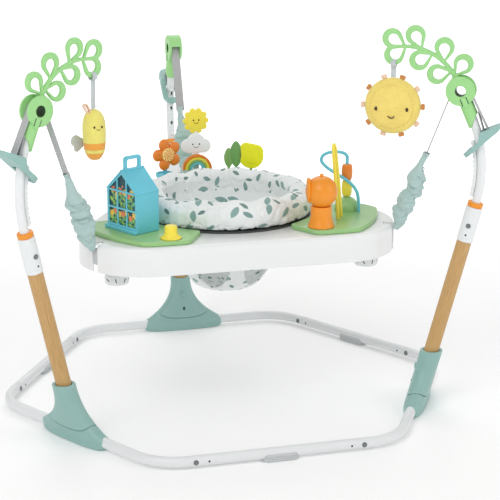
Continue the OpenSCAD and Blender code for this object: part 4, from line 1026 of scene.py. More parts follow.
class Repeat:
    """A Geometry Nodes tree for something that repeats, run once and kept as a plain mesh."""

    def __init__(self, name: str, **inputs: str) -> None:
        """Starts a tree.

        Args:
            name: Name of the tree.
            inputs: Socket type of each named input after the geometry.
        """
        self.tree = bpy.data.node_groups.new(name, "GeometryNodeTree")
        sockets = self.tree.interface
        sockets.new_socket("Geometry", in_out="INPUT", socket_type="NodeSocketGeometry")
        self.keys = {
            key: sockets.new_socket(key, in_out="INPUT", socket_type="NodeSocket" + kind).identifier
            for key, kind in inputs.items()
        }
        sockets.new_socket("Geometry", in_out="OUTPUT", socket_type="NodeSocketGeometry")
        self.kit = NodeKit(self.tree)
        self.entry = self.tree.nodes.new("NodeGroupInput").outputs

    def close(self, geometry: bpy.types.NodeSocket) -> "Repeat":
        """Ends the tree: instances become real, smooth and painted.

        Args:
            geometry: What the tree has made so far.

        Returns:
            This tree.
        """
        real = self.kit.add("GeometryNodeRealizeInstances", {0: geometry}).outputs[0]
        smooth = self.kit.add("GeometryNodeSetShadeSmooth", {0: real}).outputs[0]
        paint = {0: smooth, "Material": self.entry["Finish"]}
        painted = self.kit.add("GeometryNodeSetMaterial", paint).outputs[0]
        self.kit.add("NodeGroupOutput", {0: painted})
        return self

    def facing(self) -> bpy.types.NodeSocket:
        """Gives the way that each point faces."""
        kind = "GeometryNodeInputNamedAttribute"
        return self.kit.add(kind, {"Name": "facing"}, data_type="FLOAT_VECTOR").outputs[0]

    def on_points(self, points: Any, copy: Any, facing: Any, **more: Any) -> "Repeat":
        """Ends the tree with a turned copy on each point.

        Args:
            points: Points that get a copy.
            copy: Geometry that is copied, which stands along z.
            facing: Way that each copy points.
            more: Further inputs of the copying node.

        Returns:
            The tree itself.
        """
        turn = self.kit.add("FunctionNodeAlignRotationToVector", {"Vector": facing}, axis="Z").outputs[0]
        inputs = {"Points": points, "Instance": copy, "Rotation": turn} | more
        return self.close(self.kit.add("GeometryNodeInstanceOnPoints", inputs).outputs[0])

    def run(self, name: str, host: bpy.types.Mesh, **values: Any) -> bpy.types.Object:
        """Runs the tree on a mesh.

        Args:
            name: Name of the new piece.
            host: Mesh that the tree starts from, in metres.
            values: Value of each named input.

        Returns:
            The new piece, as a plain mesh.
        """
        obj = bpy.data.objects.new(name, host)
        bpy.context.scene.collection.objects.link(obj)
        modifier = obj.modifiers.new(name, "NODES")
        modifier.node_group = self.tree
        for key, value in values.items():
            modifier[self.keys[key]] = value
        return bake(obj)


def knob_repeat() -> Repeat:
    """Tree that sets a copy of an object on each point, along the point's facing.

    Returns:
        The tree.
    """
    repeat = Repeat("set_on_points", Knob="Object", Finish="Material")
    kit, entry = repeat.kit, repeat.entry
    knob = kit.add("GeometryNodeObjectInfo", {"Object": entry["Knob"]}).outputs["Geometry"]
    return repeat.on_points(entry["Geometry"], knob, repeat.facing())


def stitch_repeat() -> Repeat:
    """Tree that sews a row of stitches along the edges of a mesh.

    Returns:
        The tree.
    """
    repeat = Repeat("stitch_row", Pitch="Float", Length="Float", Thread="Float", Finish="Material")
    kit, entry = repeat.kit, repeat.entry
    curve = kit.add("GeometryNodeMeshToCurve", {0: entry["Geometry"]}).outputs[0]
    steps = {"Curve": curve, "Length": entry["Pitch"]}
    spots = kit.add("GeometryNodeResampleCurve", steps, mode="LENGTH").outputs[0]
    tangent = kit.add("GeometryNodeInputTangent").outputs[0]
    thread = kit.add("GeometryNodeMeshUVSphere", {"Segments": 8, "Rings": 6, "Radius": 1.0}).outputs[0]
    half = kit.math("MULTIPLY", entry["Length"], 0.5)
    size = kit.add("ShaderNodeCombineXYZ", {0: entry["Thread"], 1: entry["Thread"], 2: half}).outputs[0]
    return repeat.on_points(spots, thread, tangent, Scale=size)


def coil_repeat() -> Repeat:
    """Tree that winds a coil spring up from each point.

    Returns:
        The tree.
    """
    lengths = dict.fromkeys(("Turns", "Radius", "Wire", "Height"), "Float")
    repeat = Repeat("coil_spring", **lengths, Finish="Material")
    kit, entry = repeat.kit, repeat.entry
    sizes = {"Resolution": 24, "Rotations": entry["Turns"], "Height": entry["Height"]}
    sizes |= {"Start Radius": entry["Radius"], "End Radius": entry["Radius"]}
    spiral = kit.add("GeometryNodeCurveSpiral", sizes).outputs[0]
    wire = {"Resolution": 10, "Radius": entry["Wire"]}
    section = kit.add("GeometryNodeCurvePrimitiveCircle", wire).outputs[0]
    swept = {"Curve": spiral, "Profile Curve": section, "Fill Caps": True}
    wound = kit.add("GeometryNodeCurveToMesh", swept).outputs[0]
    return repeat.on_points(entry["Geometry"], wound, repeat.facing())


KNOBS, STITCHES, COILS = knob_repeat(), stitch_repeat(), coil_repeat()


def spots_mesh(spots: Sequence[tuple[Vector, Vector]]) -> bpy.types.Mesh:
    """Mesh of loose points that know which way they face.

    Args:
        spots: Place in millimetres and facing of each point.

    Returns:
        The mesh, in metres.
    """
    mesh = bpy.data.meshes.new("spots")
    mesh.from_pydata([tuple(Vector(p) * MM) for p, _ in spots], [], [])
    facing = mesh.attributes.new("facing", "FLOAT_VECTOR", "POINT")
    facing.data.foreach_set("vector", [c for _, f in spots for c in f])
    return mesh


def scatter(
    name: str, knob: Draft, spots: Sequence[tuple[Vector, Vector]], finish: Finish
) -> bpy.types.Object:
    """Sets a copy of a small part on each spot.

    Args:
        name: Name of the piece.
        knob: Draft of the small part, which stands along z.
        spots: Place and facing of each copy.
        finish: Finish of the copies.

    Returns:
        The new piece.
    """
    master = knob.build(name + "_one", finish)
    obj = KNOBS.run(name, spots_mesh(spots), Knob=master, Finish=finish.material())
    bpy.data.objects.remove(master)
    return obj


def stitched(name: str, paths: Sequence[Sequence[Vector]], finish: Finish) -> bpy.types.Object:
    """Sews closed rows of stitches along paths.

    Args:
        name: Name of the piece.
        paths: Points of each row, in millimetres.
        finish: Finish of the thread.

    Returns:
        The new piece.
    """
    points, edges = [], []
    for path in paths:
        first = len(points)
        points += [tuple(Vector(p) * MM) for p in path]
        edges += [(i, i + 1) for i in range(first, len(points) - 1)]
        edges.append((len(points) - 1, first))
    mesh = bpy.data.meshes.new(name)
    mesh.from_pydata(points, edges, [])
    return STITCHES.run(name, mesh, Finish=finish.material(), **STITCH_SIZES)


def crumple(obj: bpy.types.Object, depth: float, size: float) -> bpy.types.Object:
    """Presses a net of creases and soft hollows into a cloth form.

    Args:
        obj: The piece.
        depth: Depth of a crease in millimetres.
        size: Distance between creases in millimetres.

    Returns:
        The same piece.
    """
    mesh = obj.data
    normals = [v.normal.copy() for v in mesh.vertices]
    for v, normal in zip(mesh.vertices, normals):
        spot = v.co / (size * MM)
        wide = max(0.0, 1 - abs(noise.noise(spot)) / 0.11)
        fine = max(0.0, 1 - abs(noise.noise(2.1 * spot)) / 0.14)
        fold = wide + 0.6 * fine
        v.co -= normal * (depth * MM * (fold - 0.9 * noise.noise(0.6 * spot)))
    return obj


def puff(obj: bpy.types.Object, pressure: float, cap: float) -> bpy.types.Object:
    """Blows a closed cloth form up a little, as its filling does.

    Args:
        obj: The piece.
        pressure: Pressure of the filling.
        cap: Most that a point may move, in millimetres.

    Returns:
        The same piece, with the result as its mesh.
    """
    rest = [v.co.copy() for v in obj.data.vertices]
    scene = bpy.context.scene
    cloth = obj.modifiers.new("puff", "CLOTH")
    cloth.settings.use_pressure = True
    cloth.settings.uniform_pressure_force = pressure
    cloth.settings.effector_weights.gravity = 0.0
    cloth.settings.bending_stiffness = 0.6
    cloth.point_cache.frame_start, cloth.point_cache.frame_end = 1, PUFF_STEPS
    for step in range(1, PUFF_STEPS + 1):
        scene.frame_set(step)
    bake(obj)
    scene.frame_set(1)
    for v, p in zip(obj.data.vertices, rest):
        away = v.co - p
        if away.length > cap * MM:
            v.co = p + away * (cap * MM / away.length)
    return obj


@dataclass(frozen=True)
class Studio:
    """Pale floor, soft lights and the camera at the photograph's angle."""

    eye: tuple = (-0.8348, -3.2737, 1.2557)
    aim: tuple = (74.536, 0.0, -15.233)
    lens: float = 113.0
    sky: float = 0.55
    lights: tuple = (
        ("key", (-2.2, -2.6, 3.4), 2.6, 62.0),
        ("fill", (2.9, -2.2, 2.2), 2.8, 28.0),
        ("rim", (0.6, 2.8, 3.2), 3.0, 42.0),
    )

    def build(self) -> None:
        """Sets up the floor, the sky, the lights and the camera."""
        self.floor()
        self.world()
        scene = bpy.context.scene
        scene.view_settings.view_transform = "Standard"
        for name, place, size, power in self.lights:
            lamp = bpy.data.lights.new(name, "AREA")
            lamp.size, lamp.energy = size, power
            holder = bpy.data.objects.new(name, lamp)
            holder.location = place
            holder.rotation_euler = (Vector((0, 0, 0.4)) - Vector(place)).to_track_quat("-Z", "Y").to_euler()
            scene.collection.objects.link(holder)
        lens = bpy.data.cameras.new("camera")
        lens.lens, lens.sensor_width = self.lens, 36.0
        camera = bpy.data.objects.new("camera", lens)
        camera.location = self.eye
        camera.rotation_euler = [rad(a) for a in self.aim]
        scene.collection.objects.link(camera)
        scene.camera = camera

    def floor(self) -> None:
        """Lays the floor."""
        half = 14000.0
        outline = [(-half, -half), (half, -half), (half, half), (-half, half)]
        ground = Draft().loft([[Vector((x, y, z)) for x, y in outline] for z in (-21.0, -1.0)])
        ground.build("floor", PAPER)

    def world(self) -> None:
        """Lights the scene evenly from all round, against a white sky."""
        world = bpy.data.worlds.new("studio")
        world.use_nodes = True
        kit = NodeKit(world.node_tree)
        background = world.node_tree.nodes["Background"]
        seen = kit.add("ShaderNodeLightPath").outputs["Is Camera Ray"]
        strength = kit.math("ADD", kit.math("MULTIPLY", seen, 1.0 - self.sky), self.sky)
        kit.feed(background, {"Color": (1.0, 1.0, 1.0, 1.0), "Strength": strength})
        bpy.context.scene.world = world


@dataclass(frozen=True)
class Layout:
    """Lines that several sub-assemblies share, in a leg's own upright plane."""

    tube_z: float = 15.0
    foot_r: float = 440.0
    post_lean: float = 14.0
    rim_z: float = 128.0
    post_len: float = 260.0
    collar_len: float = 78.0
    riser_rise: float = 15.0
    riser_r: float = 9.5
    bend_r: float = 270.0
    riser_lean: float = 24.0
    riser_top: float = 63.0
    drum_r: float = 15.5
    strap_half: float = 10.0
    strap_t: float = 1.6
    tray_top: float = 408.0
    mat_top: float = 418.0
    corner_d: float = 232.0
    corner_r: float = 144.0
    tilt: float = 43.0
    travel: float = 80.0
    socket_len: float = 80.0
    socket_od: float = 29.0
    gap: float = 0.15

    @property
    def toy_floor(self) -> float:
        """Height that a toy stands at on its mat."""
        return self.mat_top + self.gap

    @property
    def rim_x(self) -> float:
        """Distance from the centre to a foot's rim."""
        return self.foot_r + math.tan(rad(self.post_lean)) * (self.rim_z - self.tube_z)

    @property
    def collar_top(self) -> float:
        """Top of a collar along the post."""
        return self.post_len + self.collar_len

    @property
    def post_frame(self) -> Matrix:
        """Frame whose z axis runs up a post from its foot's rim."""
        return moved(self.rim_x, 0, self.rim_z) @ turned(self.post_lean, "Y")

    def on_post(self, s: float) -> Vector:
        """Point on a post's line at a distance from the rim."""
        return Vector((self.rim_x + s * sin(self.post_lean), self.rim_z + s * cos(self.post_lean)))

    @property
    def riser_mid(self) -> Vector:
        """Centre of the upper tube's bend.

        Returns:
            The centre, in the leg's plane.
        """
        return self.on_post(self.collar_top + self.riser_rise) + self.bend_r * Vector(
            (-cos(self.post_lean), sin(self.post_lean))
        )

    @property
    def riser_end(self) -> Vector:
        """Upper end of the bend."""
        return self.riser_mid + self.bend_r * Vector((cos(self.riser_lean), sin(self.riser_lean)))

    @property
    def hub(self) -> Vector:
        """Middle of a strap drum."""
        return self.riser_end + self.riser_top * Vector((-sin(self.riser_lean), cos(self.riser_lean)))

    def riser_x(self, z: float) -> float:
        """Distance from the centre to the bent tube at a height."""
        return self.riser_mid.x + math.sqrt(self.bend_r**2 - (z - self.riser_mid.y) ** 2)

    @property
    def adjuster_at(self) -> Vector:
        """Point of the upper tube that an adjuster sits at."""
        z = self.riser_mid.y + 57
        return Vector((self.riser_x(z), z))

    @property
    def slide_lean(self) -> float:
        """Lean of an adjuster's slide in degrees."""
        at = self.adjuster_at
        return math.degrees(math.atan((self.riser_x(at.y - self.travel) - at.x) / self.travel))

    def on_plate(self, u: float, v: float) -> Vector:
        """Point of an adjuster's plate, along it and up from it."""
        along, up = Vector((cos(self.tilt), sin(self.tilt))), Vector((-sin(self.tilt), cos(self.tilt)))
        return self.adjuster_at + u * along + v * up

    @property
    def lay_r(self) -> float:
        """Radius that a strap lies at on the drum."""
        return self.drum_r + self.gap + self.strap_t / 2

    @property
    def clip_at(self) -> Vector:
        """Point where a spring is hooked to the tray."""
        return Vector((self.corner_d + self.corner_r + 2, self.tray_top - 22))

    @property
    def tail_at(self) -> Vector:
        """Point where a strap meets its adjuster."""
        return self.on_plate(31, 3)

    def tangent(self, at: Vector, side: int) -> float:
        """Angle of a strap from a point to the drum, which it meets on one side."""
        away = self.hub - at
        return math.degrees(math.atan2(away.y, away.x) + side * math.asin(self.lay_r / away.length))

    def tangent_len(self, at: Vector) -> float:
        """Length of a strap from a point to the drum."""
        return math.sqrt((self.hub - at).length_squared - self.lay_r**2)

    @property
    def drop_angle(self) -> float:
        """Angle of the strap that drops to the tray."""
        return self.tangent(self.clip_at, 1)

    @property
    def tail_angle(self) -> float:
        """Angle of the strap that runs to the adjuster."""
        return self.tangent(self.tail_at, -1)

    @property
    def cover_frame(self) -> Matrix:
        """Frame whose z axis runs up a spring cover from its lower end."""
        at = self.clip_at
        return stood(at) @ turned(90 - self.drop_angle, "Y") @ moved(0, 0, 11)


LINES = Layout()
WAY_DOWN = LINES.riser_lean - 90


def ahead(angle: float) -> Vector:
    """Step of one along an angle in a leg's plane."""
    return Vector((cos(angle), sin(angle)))


def upright(p: Sequence[float], y: float = 0.0) -> Vector:
    """Point of a leg's plane in the leg's frame."""
    return Vector((p[0], y, p[1]))


def hub_frame() -> Matrix:
    """Frame of a strap drum, whose z axis is the drum's axis."""
    return stood(LINES.hub) @ turned(90, "X")


@dataclass
class BaseFrame:
    """Six-sided base: bent tubes under the feet, straight bars, grip pads and snap buttons."""

    tube_r: float = 11.0
    bend_r: float = 110.0
    bar_r: float = 440.0
    bar_half: float = 164.0
    edge: float = 0.7
    pad_w: float = 28.0
    pad_len: float = 50.0
    snap_inset: float = 13.0
    bars: tuple = (270, 30, 150)

    @property
    def straight(self) -> float:
        """Half of the straight run under a foot."""
        return LINES.foot_r / math.sqrt(3) - self.bend_r * math.tan(math.pi / 6)

    def build(self) -> None:
        """Builds and dresses every piece of the base."""
        for leg in Leg:
            tube = Draft().tube(self.bend_path(), self.rounded_end, leg.turn, sides=48)
            node = "base_bend_" + leg.key
            dress(tube.build(node + "_tube", WHITE_TUBE), "frame", "white_tube", node)
        bars, pads = Draft(), Draft()
        for bearing in self.bars:
            place = turned(bearing) @ moved(self.bar_r, 0, 0)
            ends = [-self.bar_half, -self.bar_half + 1, -self.bar_half / 2, 0]
            path = [Vector((0, y, LINES.tube_z)) for y in ends + [-y for y in reversed(ends[:-1])]]
            bars.tube(path, self.rounded_end, place, sides=48)
            self.pad(pads, place)
        dress(bars.build("base_bar_tubes", WHITE_TUBE), "frame", "white_tube", "base_bars")
        dress(pads.build("grip_pads", RUBBER), "frame", "grey_rubber", "base_pads")
        self.buttons()

    def rounded_end(self, share: float) -> float:
        """Radius of a tube, eased at its ends so that the joint shows."""
        return self.tube_r - self.edge if share in (0.0, 1.0) else self.tube_r

    def bend_path(self) -> list[Vector]:
        """Centre line of a bent tube.

        Returns:
            Points of the line, from end to end.
        """
        half = [(LINES.foot_r, 0.0), (LINES.foot_r, self.straight / 2)]
        half += arc((LINES.foot_r - self.bend_r, self.straight), self.bend_r, 0, 60, 24)
        run = self.straight - self.bar_half
        x, y = half[-1]
        half += [(x - d * sin(60), y + d * cos(60)) for d in (run - 1, run)]
        mirrored = [(x, -y) for x, y in reversed(half[1:])]
        return [Vector((x, y, LINES.tube_z)) for x, y in mirrored + half]

    def pad(self, pads: Draft, place: Matrix) -> None:
        """Adds a grip pad with rounded edges, and two grip grooves round it.

        Args:
            pads: Draft of all pads.
            place: Where the pad goes.
        """
        half = self.pad_w / 2
        levels = [(1.4, 0), (0, 1.4), (0, 4), (0.8, 4.6), (0.8, 5.4), (0, 6)]
        levels += [(0, 8), (0.8, 8.6), (0.8, 9.4), (0, 10), (0, 13.4), (1.4, 15)]
        rings = []
        for inset, z in levels:
            ends = arc((0, self.pad_len / 2), half - inset, 0, 180, 16)
            ends += arc((0, -self.pad_len / 2), half - inset, 180, 360, 16)
            rings.append([Vector((x, y, z)) for x, y in ends])
        pads.loft(rings, place)

    def buttons(self) -> None:
        """Sets a snap button at each joint of the base and the posts, and beside it a low dark disc, painted
        shade for a small hole.
        """
        button = [(5.4, -1.5), (5.4, 0.5), (5.0, 0.9), (4.5, 0.9), (4.3, 0.3)]
        button += [(3.9, 0.3), (3.8, 1.4), (3.2, 2.1), (0, 2.4)]
        # A low dark disc stands for each small hole: painted shade, not a cut.
        hole = [(2.3, -0.6), (2.3, 0.12), (0, 0.16)]
        spots, holes = [], []
        for bearing in self.bars:
            place = turned(bearing) @ moved(self.bar_r, 0, LINES.tube_z)
            for side in (-1, 1):
                for face in (-1, 1):
                    y = side * (self.bar_half + self.snap_inset)
                    facing = turned(bearing) @ Vector((face, 0, 0))
                    spots.append((place @ Vector((face * self.tube_r, y, 0)), facing))
                    holes.append((place @ Vector((face * self.tube_r, y - side * 27, 0)), facing))
        pin = LINES.post_len + LINES.collar_len * 0.48
        for leg in Leg:
            for face in (-1, 1):
                facing = leg.turn @ Vector((0, face, 0))
                place = leg.turn @ LINES.post_frame
                spots.append((place @ Vector((0, face * 17.75, pin)), facing))
                holes.append((place @ Vector((0, face * 17.75, pin - 21)), facing))
        set_on = scatter("snap_button_set", Draft().lathe(button, sides=24), spots, PEG)
        dress(set_on, "frame", "steel", "snap_buttons")
        dress(scatter("locator_holes", Draft().lathe(hole, sides=16), holes, RECESS_SHADOW), "frame", "white_plastic")


@dataclass
class Feet:
    """Bell-shaped feet: a saddle over the tube and a leaning socket, parted by a bowed seam."""

    half: float = 103.0
    depth: float = 46.0
    wide_z: float = 20.0
    sweep: float = 2.6
    neck: float = 24.5
    seam_z: float = 31.0
    seam_rise: float = 15.0
    seam_gap: float = 0.9
    edge: float = 0.9
    screw_z: float = 88.0
    sides: int = 96

    def build(self) -> None:
        """Builds and dresses the feet, their sockets and their screw caps."""
        sockets = Draft()
        for leg in Leg:
            node = "foot_" + leg.key
            saddle = Draft().loft(self.saddle(), leg.turn)
            dress(saddle.build(node + "_saddle", MINT), "frame", "mint_plastic", node)
            sockets.loft(self.socket(), leg.turn)
        dress(sockets.build("foot_socket_shells", MINT), "frame", "mint_plastic", "foot_sockets")
        self.screws()

    def draw(self, z: float) -> float:
        """Share of the foot's spread that is left at a height.

        Args:
            z: The height.

        Returns:
            The share.
        """
        if z < self.wide_z:
            return 1 - 0.09 * (1 - z / self.wide_z) ** 2
        return max(0.0, 1 - (z - self.wide_z) / (LINES.rim_z - self.wide_z)) ** self.sweep

    def point(self, z: float, t: float, inset: float = 0.0) -> Vector:
        """Point of a foot's surface.

        Args:
            z: Height.
            t: Angle round the foot in degrees.
            inset: Distance in from the surface.

        Returns:
            The point, in the leg's frame.
        """
        share = z / LINES.rim_z
        a = self.depth / 2 + (self.neck - self.depth / 2) * share - inset
        b = self.neck + (self.half - self.neck) * self.draw(z) - inset
        power = 2 / (2 + 0.7 * (1 - share))
        x = a * math.copysign(abs(cos(t)) ** power, cos(t))
        y = b * math.copysign(abs(sin(t)) ** power, sin(t))
        lean = math.tan(rad(LINES.post_lean)) * max(z - LINES.tube_z, 0)
        return Vector((LINES.foot_r + lean + x, y, z))

    def ring(self, level: Callable[[float], float], inset: float) -> list[Vector]:
        """Ring of points whose height depends on the angle."""
        turns = [360 * j / self.sides for j in range(self.sides)]
        return [self.point(level(t), t, inset) for t in turns]

    def seam(self, t: float) -> float:
        """Height of the seam at an angle."""
        return self.seam_z + self.seam_rise * sin(t) ** 2

    def saddle(self) -> list[list[Vector]]:
        """Rings of the saddle, bottom first.

        Returns:
            The rings.
        """

        def top(t: float) -> float:
            """Height of the saddle's upper edge."""
            return self.seam(t) - self.seam_gap

        rings = [self.ring(lambda t: 0.0, 1.6), self.ring(lambda t: 1.6, 0.0)]
        for i in range(1, 11):
            rings.append(self.ring(lambda t, i=i: 1.6 + (top(t) - self.edge - 1.6) * i / 10, 0.0))
        return rings + [self.ring(top, self.edge), self.ring(top, 6.0)]

    def socket(self) -> list[list[Vector]]:
        """Rings of the socket, from the seam up and over its rim.

        Returns:
            The rings.
        """

        def level(t: float, i: int) -> float:
            """Height of one of the rings between the seam and the rim."""
            rise = LINES.rim_z - 2 - self.seam(t) - self.edge
            return self.seam(t) + self.edge + rise * i / 24

        rings = [self.ring(self.seam, 6.0), self.ring(self.seam, self.edge)]
        rings += [self.ring(lambda t, i=i: level(t, i), 0.0) for i in range(25)]
        for inset, drop in ((0.6, 0.7), (2.0, 0.0), (5.6, 0.0), (7.0, 1.0), (7.4, 6.0)):
            rings.append(self.ring(lambda t, drop=drop: LINES.rim_z - drop, inset))
        return rings

    def screws(self) -> None:
        """Sets a ringed screw cap on the inner side of each foot, and below it a thin dark plate, painted
        shade for a slot.
        """
        cap = [(7, -3), (7, 1.4), (6.4, 2.0), (5.4, 2.0), (5.0, 1.3), (4.4, 1.3), (4.0, 1.9), (0, 2.2)]
        # The slot is a thin dark plate on the surface: painted shade for a recess.
        slot = Draft().plate([rounded_box(5.5, 13, 2.7)], 1.0, 0.2)
        caps, slots = [], []
        for leg in Leg:
            inward = leg.turn @ Vector((-1, 0, 0))
            caps.append((leg.turn @ self.point(self.screw_z, 180), inward))
            slots.append((leg.turn @ self.point(52, 180), inward))
        screws = scatter("foot_screw_caps", Draft().lathe(cap, sides=32), caps, MINT)
        dress(screws, "frame", "steel", "foot_screws")
        dress(scatter("foot_slots", slot, slots, RECESS_SHADOW), "frame", "mint_plastic")


@dataclass
class Posts:
    """Wood-look posts with collars, orange rings, bent upper tubes and scalloped racks."""

    post_r: float = 16.0
    collar_r: float = 17.75
    ring_r: float = 16.5
    ring_t: float = 10.0
    rack_depth: float = 8.5
    rack_w: float = 10.0
    pitch: float = 40.0

    def build(self) -> None:
        """Builds and dresses every piece of the posts."""
        collars, rings, risers = Draft(), Draft(), Draft()
        for leg in Leg:
            place = leg.turn @ LINES.post_frame
            node = "post_" + leg.key
            heights = [-20 + 300 * i / 30 for i in range(31)]
            post = Draft().lathe([(self.post_r, z) for z in heights], place, sides=64)
            dress(post.build(node + "_tube", WOOD), "frame", "wood_tube", node)
            self.collar(collars, place)
            low, r, t = LINES.collar_top + 0.2, self.ring_r, self.ring_t
            edge = [(r - 2 + 2 * cos(a), low + 2 + 2 * sin(a)) for a in (-90, -60, -30, 0)]
            edge += [(r - 2 + 2 * cos(a), low + t - 2 + 2 * sin(a)) for a in (0, 30, 60, 90)]
            rings.lathe([(9.6, low)] + edge + [(9.6, low + t)], place, loop=True)
            risers.tube(self.riser_path(), LINES.riser_r, leg.turn, sides=48)
        dress(collars.build("post_collar_sleeves", WHITE_PART), "frame", "white_plastic", "post_collars")
        dress(rings.build("post_ring_bands", ORANGE), "frame", "orange_plastic", "post_rings")
        dress(risers.build("riser_tubes", WHITE_TUBE), "frame", "white_tube", "risers")
        self.racks()

    def collar(self, collars: Draft, place: Matrix) -> None:
        """Adds a collar with eased ends and two grooves.

        Args:
            collars: Draft of all collars.
            place: Frame along the post.
        """
        low, high, r = LINES.post_len, LINES.collar_top, self.collar_r
        profile = [(16.2, low + 0.4), (r - 1, low), (r, low + 1), (r, low + 7), (r - 0.5, low + 7.6)]
        profile += [(r - 0.5, low + 8.4), (r, low + 9), (r, high - 9), (r - 0.5, high - 8.4)]
        profile += [(r - 0.5, high - 7.6), (r, high - 7), (r, high - 2), (r - 0.6, high - 0.6), (r - 2, high)]
        profile += [(9.8, high), (9.8, high - 20), (16.2, high - 20)]
        collars.lathe(profile, place, loop=True)

    def riser_path(self) -> list[Vector]:
        """Centre line of an upper tube, from inside its collar to its head.

        Returns:
            Points of the line.
        """
        low = LINES.on_post(LINES.collar_top - 18)
        bend = arc(LINES.riser_mid, LINES.bend_r, -LINES.post_lean, LINES.riser_lean, 40)
        top = LINES.hub + 25 * ahead(WAY_DOWN)
        return [upright(p) for p in [low] + bend + [top]]

    def racks(self) -> None:
        """Adds the scalloped racks on the inner side of the upper tubes, with their height holes, and a dark
        plate inside each hole as painted shade.
        """
        mid, r = LINES.riser_mid, LINES.bend_r - LINES.riser_r - LINES.gap
        low, high = (math.degrees(math.asin(z / LINES.bend_r)) for z in (-60, 66))
        scallops = 12
        inner = []
        for i in range(161):
            share = i / 160
            wave = abs(sin(180 * scallops * share)) ** 0.6
            inner.append((share, r - self.rack_depth * (0.62 + 0.38 * wave)))
        turns = [(low + (high - low) * share, d) for share, d in inner]
        ease = [(mid[0] + d * cos(a), mid[1] + d * sin(a)) for a, d in turns]
        outline = list(reversed(arc(mid, r, low, high, 60))) + ease
        racks = Draft()
        for leg in Leg:
            racks.plate([outline], self.rack_w, 1.0, leg.turn @ UPRIGHT)
        piece = racks.build("height_rack_strips", WHITE_PART)
        holes, hole_shadows = Draft(), Draft()
        for leg in Leg:
            for i in range(3):
                z = 52 - i * self.pitch
                a = math.degrees(math.asin(z / LINES.bend_r))
                place = leg.turn @ stood(mid) @ turned(-a, "Y") @ moved(r - self.rack_depth, 0, 0)
                holes.plate([rounded_box(5, 9, 1.2)], 10, 0.1, place @ ACROSS)
                # Dark plate set inside each hole: painted shade for the hole's depth.
                hole_shadows.plate([rounded_box(4.8, 8.8, 1.1)], 0.8, 0.1, place @ moved(4.2, 0, 0) @ ACROSS)
        cut(piece, holes.build("rack_hole_cutters"))
        soften(piece.data, HARD_CREASE)
        dress(piece, "frame", "white_plastic", "height_racks")
        dress(hole_shadows.build("rack_hole_linings", RECESS_SHADOW), "frame", "white_plastic")


@dataclass
class Heads:
    """Strap heads: drum, flanges, spring tongue and socket."""

    flange_r: float = 31.0
    flange_in: float = 10.4
    flange_out: float = 15.4
    bore_r: float = 11.5
    tongue_w: float = 11.0
    hood_from: float = 138.3
    edge: float = 1.8

    def build(self) -> None:
        """Builds and dresses the three heads."""
        for leg in Leg:
            node = "head_" + leg.key
            head = Draft()
            head.lathe(self.profile(), leg.turn @ hub_frame(), sides=96, loop=True)
            # A thin dark green sleeve inside the bore: painted shade for the inside of the drum's bore.
            bore, end = self.bore_r, self.flange_out - 1
            bore_shade = [(bore - 0.2, -end), (bore + 0.2, -end), (bore + 0.2, end), (bore - 0.2, end)]
            head.lathe(bore_shade, leg.turn @ hub_frame(), loop=True, paint=2)
            self.socket(head, leg.turn)
            self.hood(head, leg)
            for side in (-1, 1):
                self.tongue(head, leg.turn, side)
            mats = (GREEN, RECESS_SHADOW, BORE_PAINTED_SHADE)
            dress(head.build(node + "_casting", *mats), "frame", "green_plastic", node)

    def profile(self) -> list[Point]:
        """Section of the drum and flanges round the drum's axis.

        Returns:
            The section's points.
        """
        e, r, a, b = self.edge, self.flange_r, self.flange_in, self.flange_out
        rim = arc((r - e, b - e), e, 90, 0, 5) + arc((r - 1, a + 1), 1, 0, -90, 4)
        half = [(self.bore_r, b - 1), (self.bore_r + 1, b)] + rim + [(LINES.drum_r, a)]
        return half + [(x, -y) for x, y in reversed(half)]

    def socket(self, head: Draft, turn: Matrix) -> None:
        """Adds the socket, cut off at a slant at its lower end.

        Args:
            head: Draft of the head.
            turn: The leg's bearing.
        """
        r, sides = LINES.socket_od / 2, 64
        place = turn @ stood(LINES.hub) @ turned(90 - WAY_DOWN, "Y")

        def end(t: float) -> float:
            """Distance of the socket's end from the drum at an angle."""
            return min(LINES.socket_len, LINES.socket_len - 24 + r * (1 + cos(t)))

        rings = []
        for share, inset in ((0, 0), (0.5, 0), (0.9, 0), (0.985, 0.1), (1, 1.2), (1, 4.6), (0.9, 4.8)):
            ring = []
            for j in range(sides):
                t = 360 * j / sides
                ring.append(Vector(((r - inset) * cos(t), (r - inset) * sin(t), 20 + (end(t) - 20) * share)))
            rings.append(ring)
        head.loft(rings, place)

    def hood(self, head: Draft, leg: Leg) -> None:
        """Adds the hood that closes the gap between the flanges, above the strap.

        Args:
            head: Draft of the head.
            leg: The head's leg.
        """
        start = 70 if leg is Leg.BACK else self.hood_from
        out, inn = self.flange_r - 0.3, self.flange_r - 5
        section = arc((0, 0), out, start, 168, 24) + arc((0, 0), inn, 168, start, 24)
        head.plate([section], 2 * self.flange_in + 1, 0.3, leg.turn @ stood(LINES.hub) @ UPRIGHT)

    def tongue(self, head: Draft, turn: Matrix, side: int) -> None:
        """Adds the spring tongue from one flange onto the socket, between two thin dark plates painted as the
        shade of slits.

        Args:
            head: Draft of the head.
            turn: The leg's bearing.
            side: Flange that it starts from, 1 or -1.
        """
        w, low, high = self.tongue_w / 2, self.bore_r + 2, self.flange_r + 6
        outline = [(-w, low), (w, low)] + arc((0, high - w), w, 0, 180, 16)
        foot = moved(LINES.hub.x, side * self.flange_out, LINES.hub.y)
        place = turn @ foot @ turned(90 - WAY_DOWN, "Y") @ UPRIGHT
        head.plate([outline], 2.4, 0.8, place)
        for edge in (-1, 1):
            # The slits are thin dark plates on the surface: painted shade, not cuts.
            head.plate([rounded_box(1.8, 15, 0.8, (edge * (w + 1), 23), 3)], 0.8, 0.1, place, paint=1)


